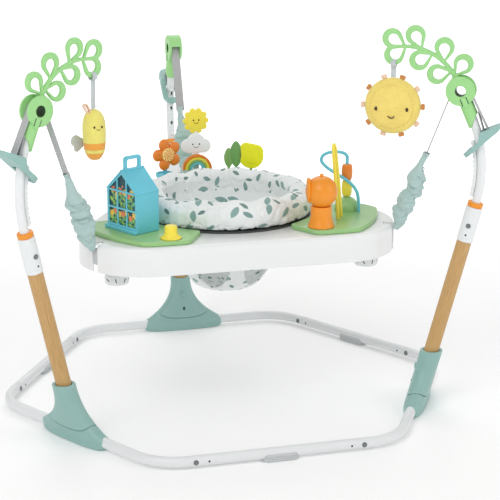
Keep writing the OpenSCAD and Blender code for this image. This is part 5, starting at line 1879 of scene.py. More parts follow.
@dataclass
class Branches:
    """Leaf branches: an arched stem with teardrop loops on both sides."""

    stem_r: float = 120.0
    stem_w: float = 8.0
    leaf_t: float = 9.0
    leaf_r: float = 21.0
    leaf_wall: float = 7.5
    reach: float = 32.0
    upper: tuple = ((31, 55), (48, 90), (74, 116), (91, 150))
    lower: tuple = ((36, 192), (62, 207), (90, 217))
    ends: tuple = (28, 108)
    voxel: float = 0.9

    @property
    def mid(self) -> Vector:
        """Centre of the stem's arch."""
        return LINES.hub + Vector((-118, -32))

    @property
    def toy_pivot(self) -> Vector:
        """Point that a hanging toy swings from.

        Returns:
            The point, in the leg's plane.
        """
        at, heading = self.lower[2]
        centre = self.mid + self.stem_r * ahead(at) + self.reach * ahead(heading)
        return centre - Vector((0, self.leaf_r - self.leaf_wall / 2))

    def build(self) -> None:
        """Builds and dresses the two branches."""
        for leg in (Leg.LEFT, Leg.RIGHT):
            node = "branch_" + leg.key
            branch = Draft()
            for at, heading in self.upper + self.lower:
                self.leaf(branch, leg.turn, at, heading)
            stem = arc(self.mid, self.stem_r, *self.ends, 48)
            branch.tube([upright(p) for p in stem], self.stem_size, leg.turn, sides=20)
            self.foot(branch, leg.turn)
            piece = fuse(branch.build(node + "_loops", GREEN), self.voxel, 4)
            dress(piece, "frame", "green_plastic", node)

    def stem_size(self, share: float) -> float:
        """Radius of the stem, which thins to its tip."""
        return (self.stem_w / 2 + 1.1) * (1 - 0.32 * share)

    def leaf(self, branch: Draft, turn: Matrix, at: float, heading: float) -> None:
        """Adds one leaf loop, thicker at its tip than at the stem.

        Args:
            branch: Draft of the branch.
            turn: The leg's bearing.
            at: Angle of the leaf's place on the stem.
            heading: Angle that it points to.
        """
        outer = self.teardrop(self.leaf_r, self.reach + self.stem_w / 4, 0)
        hole = self.teardrop(self.leaf_r - self.leaf_wall - 2, self.reach - 9, -3.6)
        centre = self.mid + self.stem_r * ahead(at) + self.reach * ahead(heading)
        place = turn @ stood(centre) @ turned(-heading, "Y") @ UPRIGHT
        branch.plate([outer, hole], self.leaf_t, 2.6, place)

    def teardrop(self, r: float, reach: float, shift: float) -> list[Point]:
        """Outline of a drop whose point is at the stem."""
        side = 180 - math.degrees(math.acos(r / reach))
        return [(shift - reach, 0)] + [(x + shift, y) for x, y in arc((0, 0), r, -side, side, 48)]

    def foot(self, branch: Draft, turn: Matrix) -> None:
        """Adds the block that grips the head between its flanges.

        Args:
            branch: Draft of the branch.
            turn: The leg's bearing.
        """
        start = self.mid + self.stem_r * ahead(self.ends[0])
        away = start - LINES.hub
        angle = angle_of(away)
        place = turn @ stood(LINES.hub) @ turned(-angle, "Y") @ moved(26, 0, 0) @ UPRIGHT
        branch.plate([rounded_box(13.8, 14, 3)], 20, 1.5, place)


def strap_rings(path: Sequence[Vector], half: float, thick: float) -> list[list[Vector]]:
    """Rings of a flat strap along a path in a leg's plane.

    Args:
        path: Points of the centre line, across and up.
        half: Half of the strap's width.
        thick: Thickness of the strap.

    Returns:
        One ring for each point.
    """
    last, ease = len(path) - 1, 0.6
    corners = [(ease - half, 1), (half - ease, 1), (half, 0.4), (half, -0.4)]
    corners += [(-y, -v) for y, v in corners]
    rings = []
    for i, p in enumerate(path):
        run = (path[min(i + 1, last)] - path[max(i - 1, 0)]).normalized()
        out = Vector((-run.y, run.x)) * thick / 2
        rings.append([upright(p + out * v, y) for y, v in corners])
    return rings


def line(start: Vector, angle: float, low: float, high: float, steps: int = 24) -> list[Vector]:
    """Points along a straight run in a leg's plane."""
    return [start + ahead(angle) * (low + (high - low) * i / steps) for i in range(steps + 1)]


def block(draft: Draft, low: Sequence[float], high: Sequence[float], place: Matrix) -> Draft:
    """Adds a plain box between two corners, for cutting.

    Args:
        draft: Draft that gets the box.
        low: Corner with the least coordinates.
        high: Corner opposite to it.
        place: Frame of the box.

    Returns:
        The draft.
    """
    (x0, y0, z0), (x1, y1, z1) = low, high
    corners = ((x0, y0), (x1, y0), (x1, y1), (x0, y1))
    return draft.loft([[Vector((x, y, z)) for x, y in corners] for z in (z0, z1)], place)


@dataclass
class Straps:
    """Webbing: over the drum, down to the spring cover and down to the adjuster and back."""

    cover_end: float = 193.0
    return_step: float = 11.0

    @property
    def return_low(self) -> Vector:
        """Point where the return strand leaves the adjuster."""
        return LINES.tail_at + self.return_step * Vector((-sin(LINES.tail_angle), cos(LINES.tail_angle)))

    @property
    def return_high(self) -> Vector:
        """Point of the socket that the return strand is sewn to.

        Returns:
            The point, in the leg's plane.
        """
        lean = LINES.riser_lean
        below = LINES.hub + (LINES.socket_len - 26) * Vector((sin(lean), -cos(lean)))
        return below + (LINES.socket_od / 2 + LINES.strap_t + 1) * Vector((cos(lean), sin(lean)))

    def build(self) -> None:
        """Builds and dresses the straps."""
        half, thick = LINES.strap_half, LINES.strap_t
        wraps, drops = Draft(), Draft()
        ends = LINES.tail_angle - 90, LINES.drop_angle + 90
        over = [Vector(p) for p in arc(LINES.hub, LINES.lay_r, *ends, 40)]
        drop = line(LINES.clip_at, LINES.drop_angle, self.cover_end - 9, LINES.tangent_len(LINES.clip_at))
        for leg in Leg:
            wraps.loft(strap_rings(over, half, thick), leg.turn)
            drops.loft(strap_rings(drop, half, thick), leg.turn)
        dress(wraps.build("strap_over_drums", WEBBING), "frame", "grey_webbing", "strap_wraps")
        piece = drops.build("strap_to_springs", WEBBING)
        low = LINES.clip_at + (self.cover_end - 4) * ahead(LINES.drop_angle)
        stretch(piece, "strap_drops", ("frame", "hangers"), LINES.hub.y - 4, low.y + 8)
        for leg in Leg:
            self.tail(leg)

    def tail(self, leg: Leg) -> None:
        """Builds one leg's strap to its adjuster, with the return strand.

        Args:
            leg: The strap's leg.
        """
        half, thick = LINES.strap_half, LINES.strap_t
        down = line(LINES.tail_at, LINES.tail_angle, -5, LINES.tangent_len(LINES.tail_at))
        away = self.return_high - self.return_low
        angle = angle_of(away)
        back = line(self.return_low, angle, -5, away.length)
        strap = Draft()
        for run in (down, back):
            strap.loft(strap_rings(run, half, thick), leg.turn)
        piece = strap.build("strap_tail_" + leg.key, WEBBING)
        bodies = ("frame", "adjuster_" + leg.key)
        stretch(piece, "strap_tails", bodies, LINES.hub.y - 30, LINES.tail_at.y + 12)


@dataclass
class Adjusters:
    """Tilted wedge plates that ride the upper tubes."""

    width: float = 44.0
    thick: float = 9.0
    inner: float = 42.0
    outer: float = 64.0
    wedge: tuple = (19.0, 18.0)
    channel: tuple = (-14.9, 25.1)
    channel_half: float = 10.7
    slot: float = 3.4

    def build(self) -> None:
        """Builds and dresses the three adjusters."""
        for leg in Leg:
            piece = self.plate(leg)
            cutters = Draft()
            at = LINES.adjuster_at
            along = leg.turn @ stood(at) @ turned(180 - LINES.slide_lean, "Y")
            half = self.channel_half
            block(cutters, (self.channel[0], -half, -250), (self.channel[1], half, 250), along)
            cut(piece, cutters.build("channel_cutter"))
            slots = Draft()
            for p in (LINES.tail_at, Straps().return_low):
                place = leg.turn @ stood(p) @ turned(90 - LINES.tail_angle, "Y")
                block(slots, (-self.slot / 2, -11, -3), (self.slot / 2, 11, 128), place)
            cut(piece, slots.build("slot_cutter"))
            soften(piece.data, 32)
            node = "adjuster_" + leg.key
            dress(piece, node, "mint_plastic", node)

    def plate(self, leg: Leg) -> bpy.types.Object:
        """Makes the wedge plate, round at both ends when seen from above.

        Args:
            leg: The adjuster's leg.

        Returns:
            The plate.
        """
        t, (u, h) = self.thick / 2, self.wedge
        outline = [(-self.inner, -t), (self.outer - 14, -t), (self.outer, -1), (self.outer, 2)]
        outline += [(u, h), (2, t), (-self.inner, t)]
        at = LINES.adjuster_at
        place = leg.turn @ stood(at) @ turned(-LINES.tilt, "Y") @ UPRIGHT
        wedge = Draft().plate([outline], self.width + 2, 1.4, place)
        piece = wedge.build("adjuster_" + leg.key + "_wedge", MINT)
        r = self.width / 2
        plan = arc((self.outer - r, 0), r, -90, 90, 24) + arc((r - self.inner, 0), r, 90, 270, 24)
        rest = Draft().plate([rounded_box(300, 200, 5), plan], 90, 0.01, place @ UPRIGHT.inverted())
        return cut(piece, rest.build("plan_cutter"))


@dataclass
class Hangers:
    """Gathered spring covers and the coil springs inside them."""

    radius: float = 19.0
    least: float = 6.4
    toy_off: float = 77.0
    toy_at: float = 172.0
    toy_r: float = 69.5
    length: float = 182.0
    gather: float = 5.6
    wall: float = 0.9
    sides: int = 80
    steps: int = 170
    spring_r: float = 8.8
    wire: float = 1.2
    spring_len: float = 120.0
    turns: float = 22.0
    ties: tuple = (0.44, 0.56)

    def build(self) -> None:
        """Builds and dresses the covers and the springs."""
        top = (LINES.cover_frame @ Vector((0, 0, self.length - 12))).z
        low = (LINES.cover_frame @ Vector((0, 0, 12))).z
        bodies = ("hangers", "tray")
        for turn, leg in enumerate(Leg):
            outer = [self.ring(i / self.steps, 0, 50 * turn) for i in range(self.steps + 1)]
            inner = [self.ring(i / self.steps, self.wall, 50 * turn) for i in reversed(range(self.steps + 1))]
            sleeve = Draft().loft(outer + inner, leg.turn @ LINES.cover_frame, loop=True)
            node = "cover_" + leg.key
            piece = sleeve.build(node + "_sleeve", MINT_CLOTH, crease=70)
            stretch(piece, node, bodies, top, low)
        spots = []
        for leg in Leg:
            place = leg.turn @ LINES.cover_frame
            start = place @ Vector((0, 0, (self.length - self.spring_len) * 0.44))
            spots.append((start, place.to_3x3() @ Vector((0, 0, 1))))
        sizes = {"Turns": self.turns, "Radius": self.spring_r * MM, "Wire": self.wire * MM}
        sizes |= {"Height": self.spring_len * MM, "Finish": STEEL.material()}
        coils = COILS.run("coil_springs", spots_mesh(spots), **sizes)
        stretch(coils, "springs", bodies, top, low)

    def swell(self, u: float) -> float:
        """Share of the full radius at a share of the length, with a slow taper to the tray."""
        low, high = min(1.0, u / 0.34), min(1.0, (1 - u) / 0.2)
        return 0.34 + 0.66 * (sin(90 * low) * sin(90 * high) ** 0.7)

    def fold(self, u: float, t: float, turn: float) -> float:
        """Depth of the gathers at a point of the cover: round folds with sharp creases, aslant.

        Args:
            u: Share of the cover's length.
            t: Angle round the cover.
            turn: Angle that shifts this cover's folds.

        Returns:
            The depth.
        """
        large = abs(sin(180 * (4.4 * u + 0.34 * sin(t + turn) + 0.1 * sin(2 * t - turn)))) ** 0.7
        small = abs(sin(180 * (9.7 * u - 0.45 * sin(t + 80 - turn) + 0.16 * sin(3 * t)))) ** 0.6
        twist = 0.25 * sin(2 * t + 420 * u + turn) + 0.1 * sin(5 * t - 600 * u)
        return self.gather * (1.5 * large + 0.75 * small + twist - 1.45)

    def ring(self, u: float, inset: float, turn: float) -> list[Vector]:
        """Ring of the cover's points at a share of its length.

        Args:
            u: Share of the cover's length.
            inset: Distance inside the cloth.
            turn: Angle that shifts this cover's folds.

        Returns:
            The ring's points.
        """
        swell = self.swell(u)
        share = (swell - 0.34) / 0.66
        sway = 3.2 * share * sin(620 * u + 2 * turn)
        room = math.hypot(self.toy_off, self.length * u - self.toy_at) - self.toy_r - abs(sway)
        tie = share * sum(math.exp(-(((u - at) / 0.012) ** 2)) for at in self.ties)
        points = []
        for j in range(self.sides):
            t = 360 * j / self.sides
            r = self.radius * swell + self.fold(u, t, turn) * share - 3.4 * tie
            r = max(self.least, min(r, room)) - inset
            points.append(Vector((r * cos(t) + sway, r * sin(t) + 0.6 * sway, self.length * u)))
        return points


@dataclass(frozen=True)
class TrayShape:
    """Outline of the tray: a triangle with large round corners."""

    corner_d: float = LINES.corner_d
    corner_r: float = LINES.corner_r

    def edge(self, bearing: float, inset: float = 0.0) -> float:
        """Distance from the centre to the tray's edge.

        Args:
            bearing: Bearing in degrees.
            inset: Distance in from the edge.

        Returns:
            The distance, in millimetres.
        """
        d = abs((bearing - 90 + 60) % 120 - 60)
        r = self.corner_r - inset
        reach = math.degrees(math.atan2(r * sin(60), self.corner_d + r * cos(60)))
        if d < reach:
            return self.corner_d * cos(d) + math.sqrt(r * r - (self.corner_d * sin(d)) ** 2)
        return (self.corner_d * cos(60) + r) / cos(60 - d)


TRAY_SHAPE = TrayShape()


@dataclass
class Tray:
    """Tray shell, leg sockets, strap clips and toy mats."""

    height: float = 60.0
    wall: float = 3.0
    edge_r: float = 8.0
    hole_r: float = 172.0
    ring_drop: float = 24.0
    notch_w: float = 16.0
    socket_r: float = 318.0
    socket_od: float = 50.0
    socket_drop: float = 36.0
    bore_r: float = 16.1
    bore_deep: float = 64.0
    mat_inset: float = 14.0
    mat_in_r: float = 198.0
    mat_far: float = 336.0
    mat_t: float = 10.0
    mats: tuple = ((188, 241), (299, 354), (50, 120))
    well: tuple = (232, 279)
    well_r: float = 22.4
    sides: int = 360

    def build(self) -> None:
        """Builds and dresses the tray's own pieces."""
        self.shell()
        self.sockets()
        self.clips()
        self.toy_mats()

    def around(self, inset: float, z: float, hole: Optional[float] = None) -> list[Vector]:
        """Ring of points along the tray's edge, or round its hole.

        Args:
            inset: Distance inside the edge.
            z: Height.
            hole: Radius round the hole, for a ring there.

        Returns:
            The ring's points.
        """
        ring = []
        for j in range(self.sides):
            b = 360 * j / self.sides
            r = hole if hole is not None else TRAY_SHAPE.edge(b, inset)
            ring.append(Vector((r * cos(b), r * sin(b), z)))
        return ring

    def shell(self) -> None:
        """Makes the shell: skirt, rounded edge, deck and the lip of the seat's hole."""
        top, low = LINES.tray_top, LINES.tray_top - self.height
        rings = [self.around(1.0, low), self.around(0.2, low + 0.3), self.around(0, low + 1.2)]
        rings += [self.around(0, low + (self.height - self.edge_r) * i / 4) for i in (1, 2, 3, 4)]
        for x, y in arc((self.edge_r, 0), self.edge_r, 180, 90, 7)[1:]:
            rings.append(self.around(x, top - self.edge_r + y))
        rings.append(self.around(24, top))
        hole, drop = self.hole_r, top - self.ring_drop
        lip = ((hole + 4, top), (hole + 1, top - 0.3), (hole, top - 1.3), (hole, drop), (hole + 3, drop))
        for r, z in lip:
            rings.append(self.around(0, z, r))
        rings.append(self.around(0, top - self.wall, hole + 3))
        rings.append(self.around(self.edge_r + self.wall, top - self.wall))
        rings.append(self.around(self.wall, top - self.edge_r - 3))
        rings.append(self.around(self.wall, low))
        piece = Draft().loft(rings, loop=True).build("tray_shell", WHITE_TRAY)
        notches = Draft()
        for leg in Leg:
            tip = LINES.corner_d + LINES.corner_r
            place = leg.turn @ moved(tip, 0, low + self.height / 2)
            notches.plate([rounded_box(44, self.notch_w, 3)], 80, 0.01, place)
        cut(piece, notches.build("notch_cutters"))
        soften(piece.data, HARD_CREASE)
        dress(piece, "tray", "white_plastic", "tray")

    def sockets(self) -> None:
        """Makes the leg sockets under the tray, with thin dark plates round them painted as the shade of
        slots.
        """
        pods, slots = Draft(), []
        r, bore = self.socket_od / 2, self.bore_r
        depth = self.height - self.wall + self.socket_drop
        for leg in Leg:
            place = leg.turn @ moved(self.socket_r, 0, LINES.tray_top - self.wall - 0.2) @ turned(180, "X")
            floor = depth - self.bore_deep
            profile = [(bore, floor), (bore, depth - 1.5), (bore + 1.5, depth), (r - 4, depth)]
            profile += arc((r - 4, depth - 4), 4, 90, 0, 5)[1:] + [(r, depth - 20), (r - 0.8, depth - 20.8)]
            profile += [(r - 0.8, depth - 22.2), (r, depth - 23), (r, 0.5), (r - 1, 0), (0, 0), (0, floor)]
            pods.lathe(profile, place, sides=72, loop=True)
            for i in range(8):
                facing = leg.turn @ Vector((cos(45 * i), sin(45 * i), 0))
                centre = leg.turn @ Vector((self.socket_r, 0, LINES.tray_top - self.wall - depth + 11))
                slots.append((centre + facing * r, facing))
        dress(pods.build("leg_socket_pods", WHITE_PART), "tray", "white_plastic", "tray_sockets")
        # Each slit is a thin dark plate on the surface: painted shade, not a cut.
        slit = Draft().plate([rounded_box(2.2, 9, 1)], 0.7, 0.1)
        dress(scatter("leg_socket_slits", slit, slots, RECESS_SHADOW), "tray", "white_plastic")

    def clips(self) -> None:
        """Makes the clips that hold the springs in the tray's notches."""
        clips, ways = Draft(), Draft()
        width = self.notch_w - 0.4
        at = LINES.clip_at
        for leg in Leg:
            place = leg.turn @ moved(at.x - 10.5, 0, at.y - 6)
            clips.plate([rounded_box(17, width, 2)], 32, 1.2, place)
            ways.lathe([(17, -0.3), (17, 120)], leg.turn @ LINES.cover_frame, sides=48)
        piece = cut(clips.build("spring_clips", GREY_PART), ways.build("clip_cutters"))
        soften(piece.data, HARD_CREASE)
        dress(piece, "tray", "grey_plastic", "strap_clips")

    def mat_outline(self, start: float, end: float) -> list[Point]:
        """Outline of a mat between two bearings, with round corners.

        Args:
            start: First bearing.
            end: Last bearing.

        Returns:
            The outline's points.
        """
        mid, mean = (start + end) / 2, 280.0
        width = rad(end - start) * mean
        outline = rounded_box(width, 100, 15, steps=8)
        dense = []
        for (x0, y0), (x1, y1) in zip(outline, outline[1:] + outline[:1]):
            count = max(1, int(math.hypot(x1 - x0, y1 - y0) / 4))
            dense += [(x0 + (x1 - x0) * i / count, y0 + (y1 - y0) * i / count) for i in range(count)]
        points = []
        for x, y in dense:
            b = mid + math.degrees(x / mean)
            outer = min(TRAY_SHAPE.edge(b, self.mat_inset), self.mat_far)
            r = self.mat_in_r + (y / 100 + 0.5) * (outer - self.mat_in_r)
            points.append((r * cos(b), r * sin(b)))
        return points

    def toy_mats(self) -> None:
        """Makes the three mats, the bead hill and the tulip's lugs."""
        mats = Draft()
        place = moved(0, 0, LINES.tray_top + LINES.gap + (self.mat_t - LINES.gap) / 2)
        bearing, far = self.well
        well = arc((far * cos(bearing), far * sin(bearing)), self.well_r, 0, 352.5, 47)
        for start, end in self.mats:
            outlines = [self.mat_outline(start, end)]
            if start < bearing < end:
                outlines.append(well)
            mats.plate(outlines, self.mat_t - LINES.gap, 2.2, place, rounds=4)
        hill_r, hill_h = 27.0, 30.0
        cap = (hill_r**2 + hill_h**2) / (2 * hill_h)
        reach = math.degrees(math.asin(min(1.0, hill_r / cap)))
        full = 180 - reach if hill_h > cap else reach
        turns = [full * (1 - i / 16) for i in range(17)]
        dome = [(cap * sin(t), hill_h - cap + cap * cos(t)) for t in turns]
        mats.lathe([(hill_r + 1.5, -1)] + dome, placed((342, 268), LINES.mat_top))
        for side in (-1, 1):
            lug = placed((62, 258), LINES.mat_top + 15) @ ACROSS @ moved(side * 12, 0, 0)
            mats.plate([rounded_box(6, 34, 2.4)], 8, 1.2, lug)
        dress(mats.build("toy_mat_pads", MAT), "tray", "green_plastic", "toy_mats")


@dataclass
class Seat:
    """Spinning seat: hard ring, gathered padded rim and hanging pouch."""

    ring_in: float = 150.0
    ring_out: float = 171.5
    flange_r: float = 188.0
    pad_low: float = 412.6
    pad_h: float = 62.0
    pad_t: float = 42.0
    pad_mid: float = 165.0
    bulge: float = 6.0
    skirt_r: float = 197.2
    skirt_h: float = 22.0
    skirt_low: float = 408.5
    gathers: int = 13
    tucks: tuple = (212, 330)
    around: int = 260
    section: int = 44
    pouch_top: float = 149.4
    pouch_low: float = 242.0
    pouch_rise: float = 192.0
    pouch_drop: float = 166.0
    hole_turn: float = 34.0
    hole_half: float = 27.0
    hole_r: float = 52.0

    def build(self) -> None:
        """Builds and dresses the seat."""
        top = LINES.tray_top
        profile = [(self.ring_in, top - 23), (self.ring_in + 1, top - 24), (self.ring_out - 1, top - 24)]
        profile += [(self.ring_out, top - 23), (self.ring_out, top + 0.3), (self.flange_r - 0.5, top + 0.3)]
        profile += [(self.flange_r, top + 1), (self.flange_r, top + 3), (self.flange_r - 1.2, top + 4.3)]
        profile += [(self.ring_in + 1, top + 4.3), (self.ring_in, top + 3.3)]
        # The ring is painted near-black: painted shadow of the gap under the padded rim.
        ring = Draft().lathe(profile, sides=180, loop=True)
        dress(ring.build("seat_turning_ring", SEAT_RING_SHADOW), "seat", "white_plastic", "seat_ring")
        self.pad()
        self.pouch()

    def pad_point(self, a: float, t: float) -> Vector:
        """Point of the padded rim.

        Args:
            a: Bearing round the seat in degrees.
            t: Angle round the rim's section in degrees, 0 outwards and 90 up.

        Returns:
            The point.
        """
        c, s = cos(t), sin(t)
        power = 2 / (2.6 if s > 0 else 4.4)
        x = self.pad_t / 2 * math.copysign(abs(c) ** power, c)
        z = self.pad_h / 2 * math.copysign(abs(s) ** power, s)
        crown = max(s, 0.0)
        tuck = sum(math.exp(-(((a - at + 180) % 360 - 180) / 17) ** 2) for at in self.tucks)
        gather = 2.4 * sin(self.gathers * a + 30 * sin(3 * a)) * max(0.0, sin(t + 20))
        crease = 1.3 * abs(sin((self.gathers + 3) * a + 50 * c)) * (0.3 + crown)
        fine = (0.7 + 1.1 * tuck) * sin(53 * a + 60 * sin(5 * a) + 45 * c) * max(0.0, sin(t + 60))
        bulge = self.bulge * (max(c, 0.0) * (1 - crown) - crown)
        r = self.pad_mid + x + bulge + gather - crease + fine
        dip = crown * (2.2 * (1 + sin(self.gathers * a + 90)) + 7 * tuck)
        return Vector((r * cos(a), r * sin(a), self.pad_low + self.pad_h / 2 + z - dip))

    def pad(self) -> None:
        """Makes the padded rim as cloth blown up by its filling, flared out and down round its foot."""
        turns = [360 * j / self.section - 90 for j in range(self.section)]
        rings = [[self.pad_point(360 * i / self.around, t) for t in turns] for i in range(self.around)]
        piece = Draft().loft(rings, loop=True).build("seat_rim_pad", LEAF_CLOTH, crease=SOFT_CREASE)
        puff(piece, 4.0, 4.0)
        refine(piece, 1)
        crumple(piece, 2.5, 42.0)
        for v in piece.data.vertices:
            share = max(0.0, 1 - (v.co.z / MM - self.pad_low) / self.skirt_h)
            out = math.hypot(v.co.x, v.co.y)
            if out > self.pad_mid * MM:
                wide = min(out * (1 + 0.045 * share * share), self.skirt_r * MM) / out
                v.co.x, v.co.y = v.co.x * wide, v.co.y * wide
            low = self.skirt_low if out > (self.flange_r + 1) * MM else self.pad_low
            v.co.z = max(v.co.z - (4.0 * MM * share if low == self.skirt_low else 0.0), low * MM)
        soften(piece.data, SOFT_CREASE)
        dress(piece, "seat", "leaf_cloth", "seat_pad")

    def pouch_point(self, u: float, a: float) -> Vector:
        """Point of the pouch at a share of its depth and a bearing.

        Args:
            u: Share of the depth, from the bottom up.
            a: Bearing.

        Returns:
            The point.
        """
        r = (self.pouch_top - 6) * (0.34 + 0.66 * u**0.42) - 7 * (1 - u) ** 2
        r += 4 * (1 - u) * math.sqrt(u) * sin(8 * a) + 1.1 * u * (1 - u) * 4 * sin(23 * a)
        return Vector((r * cos(a), r * sin(a), self.pouch_low + self.pouch_rise * u))

    def in_leg_hole(self, u: float, a: float) -> bool:
        """Whether a point of the pouch lies in a leg hole.

        Args:
            u: Share of the depth, from the bottom up.
            a: Bearing.

        Returns:
            True for a point in a hole.
        """
        turn = abs((a + 90) % 360)
        side = min(turn, 360 - turn)
        z = self.pouch_drop * u - self.hole_r - 10
        return ((side - self.hole_turn) / self.hole_half) ** 2 + (z / self.hole_r) ** 2 < 1

    def pouch(self) -> None:
        """Makes the hanging pouch with its leg holes and their bindings."""
        n, m = 192, 44
        shares = [(i / m) ** 1.2 for i in range(m + 1)]
        rings = [[self.pouch_point(u, 360 * j / n) for j in range(n)] for u in shares]
        floor = [
            [Vector((p.x * k, p.y * k, p.z - 1.5 * (1 - k))) for p in rings[0]]
            for k in (0.02, 0.35, 0.7)
        ]
        draft = Draft().loft(floor + rings, caps=(True, False))
        gone = [
            f
            for f in draft.mesh.faces
            if self.in_leg_hole(
                max(0.0, (f.calc_center_median().z - self.pouch_low) / self.pouch_rise),
                math.degrees(math.atan2(f.calc_center_median().y, f.calc_center_median().x)),
            )
            and f.calc_center_median().z > self.pouch_low + 8
        ]
        bmesh.ops.delete(draft.mesh, geom=gone, context="FACES")
        piece = draft.build("seat_pouch_cloth", LEAF_CLOTH, crease=SOFT_CREASE, closed=False)
        wall = piece.modifiers.new("wall", "SOLIDIFY")
        wall.thickness, wall.offset = 1.6 * MM, 0.0
        crumple(bake(piece), 1.4, 56.0)
        soften(piece.data, SOFT_CREASE)
        binding = Draft()
        for side in (-1, 1):
            path = []
            for k in range(72):
                u = (self.hole_r + 10 + self.hole_r * sin(5 * k)) / self.pouch_drop
                a = -90 + side * (self.hole_turn + self.hole_half * cos(5 * k))
                path.append(self.pouch_point(max(u, 0.03), a))
            binding.tube(path, 2.4, loop=True, sides=12)
        hem = binding.build("leg_hole_bindings", LEAF_CLOTH)
        dress(piece, "seat", "leaf_cloth", "seat_pouch")
        dress(hem, "seat", "leaf_cloth")


def union_outline(circles: Sequence[tuple[float, float, float]], steps: int = 144) -> list[Point]:
    """Outline of overlapping circles, seen from the origin.

    Args:
        circles: Centre and radius of each circle.
        steps: Number of points.

    Returns:
        The outline's points.
    """
    outline = []
    for i in range(steps):
        a = 360 * i / steps
        far = 1.0
        for x, y, r in circles:
            along, off = x * cos(a) + y * sin(a), x * sin(a) - y * cos(a)
            if abs(off) < r:
                far = max(far, along + math.sqrt(r * r - off * off))
        outline.append((far * cos(a), far * sin(a)))
    return outline


def leaf_outline(length: float, width: float, steps: int = 12, power: float = 0.8) -> list[Point]:
    """Leaf along the first axis, from the origin, pointed or round at its ends.

    Args:
        length: Length of the leaf.
        width: Its full width.
        steps: Steps along each side.
        power: Power of the sides' curve, for sharper or rounder ends.

    Returns:
        The outline's points.
    """
    half = [
        (length * i / steps, width / 2 * max(0.0, sin(180 * i / steps)) ** power)
        for i in range(steps + 1)
    ]
    return half + [(x, -y) for x, y in reversed(half[1:-1])]


def shifted(outline: Sequence[Point], x: float, y: float, angle: float = 0.0) -> list[Point]:
    """Outline turned and then moved."""
    return [(x + u * cos(angle) - v * sin(angle), y + u * sin(angle) + v * cos(angle)) for u, v in outline]


def smile(draft: Draft, place: Matrix, eye: float, apart: float, wide: float, paint: int) -> None:
    """Adds a plain face: two oval eyes and, where it has a width, a curved mouth.

    Args:
        draft: Draft that gets the face.
        place: Frame whose third axis points at the viewer.
        eye: Radius of an eye.
        apart: Half of the distance between the eyes.
        wide: Half of the mouth's width, or 0 for eyes alone.
        paint: Material of the face.
    """
    dome = [(1.0, -0.6), (0.9, 0.1), (0.6, 0.3), (0.0, 0.4)]
    for side in (-1, 1):
        at = place @ moved(side * apart, eye, 0) @ Matrix.Diagonal((eye, eye * 1.35, eye, 1))
        draft.lathe(dome, at, sides=20, paint=paint)
    if wide:
        mouth = [Vector((x, y, 0.1)) for x, y in arc((0, 0), wide, 210, 330, 14)]
        draft.tube(mouth, eye * 0.32, place, sides=8, paint=paint)


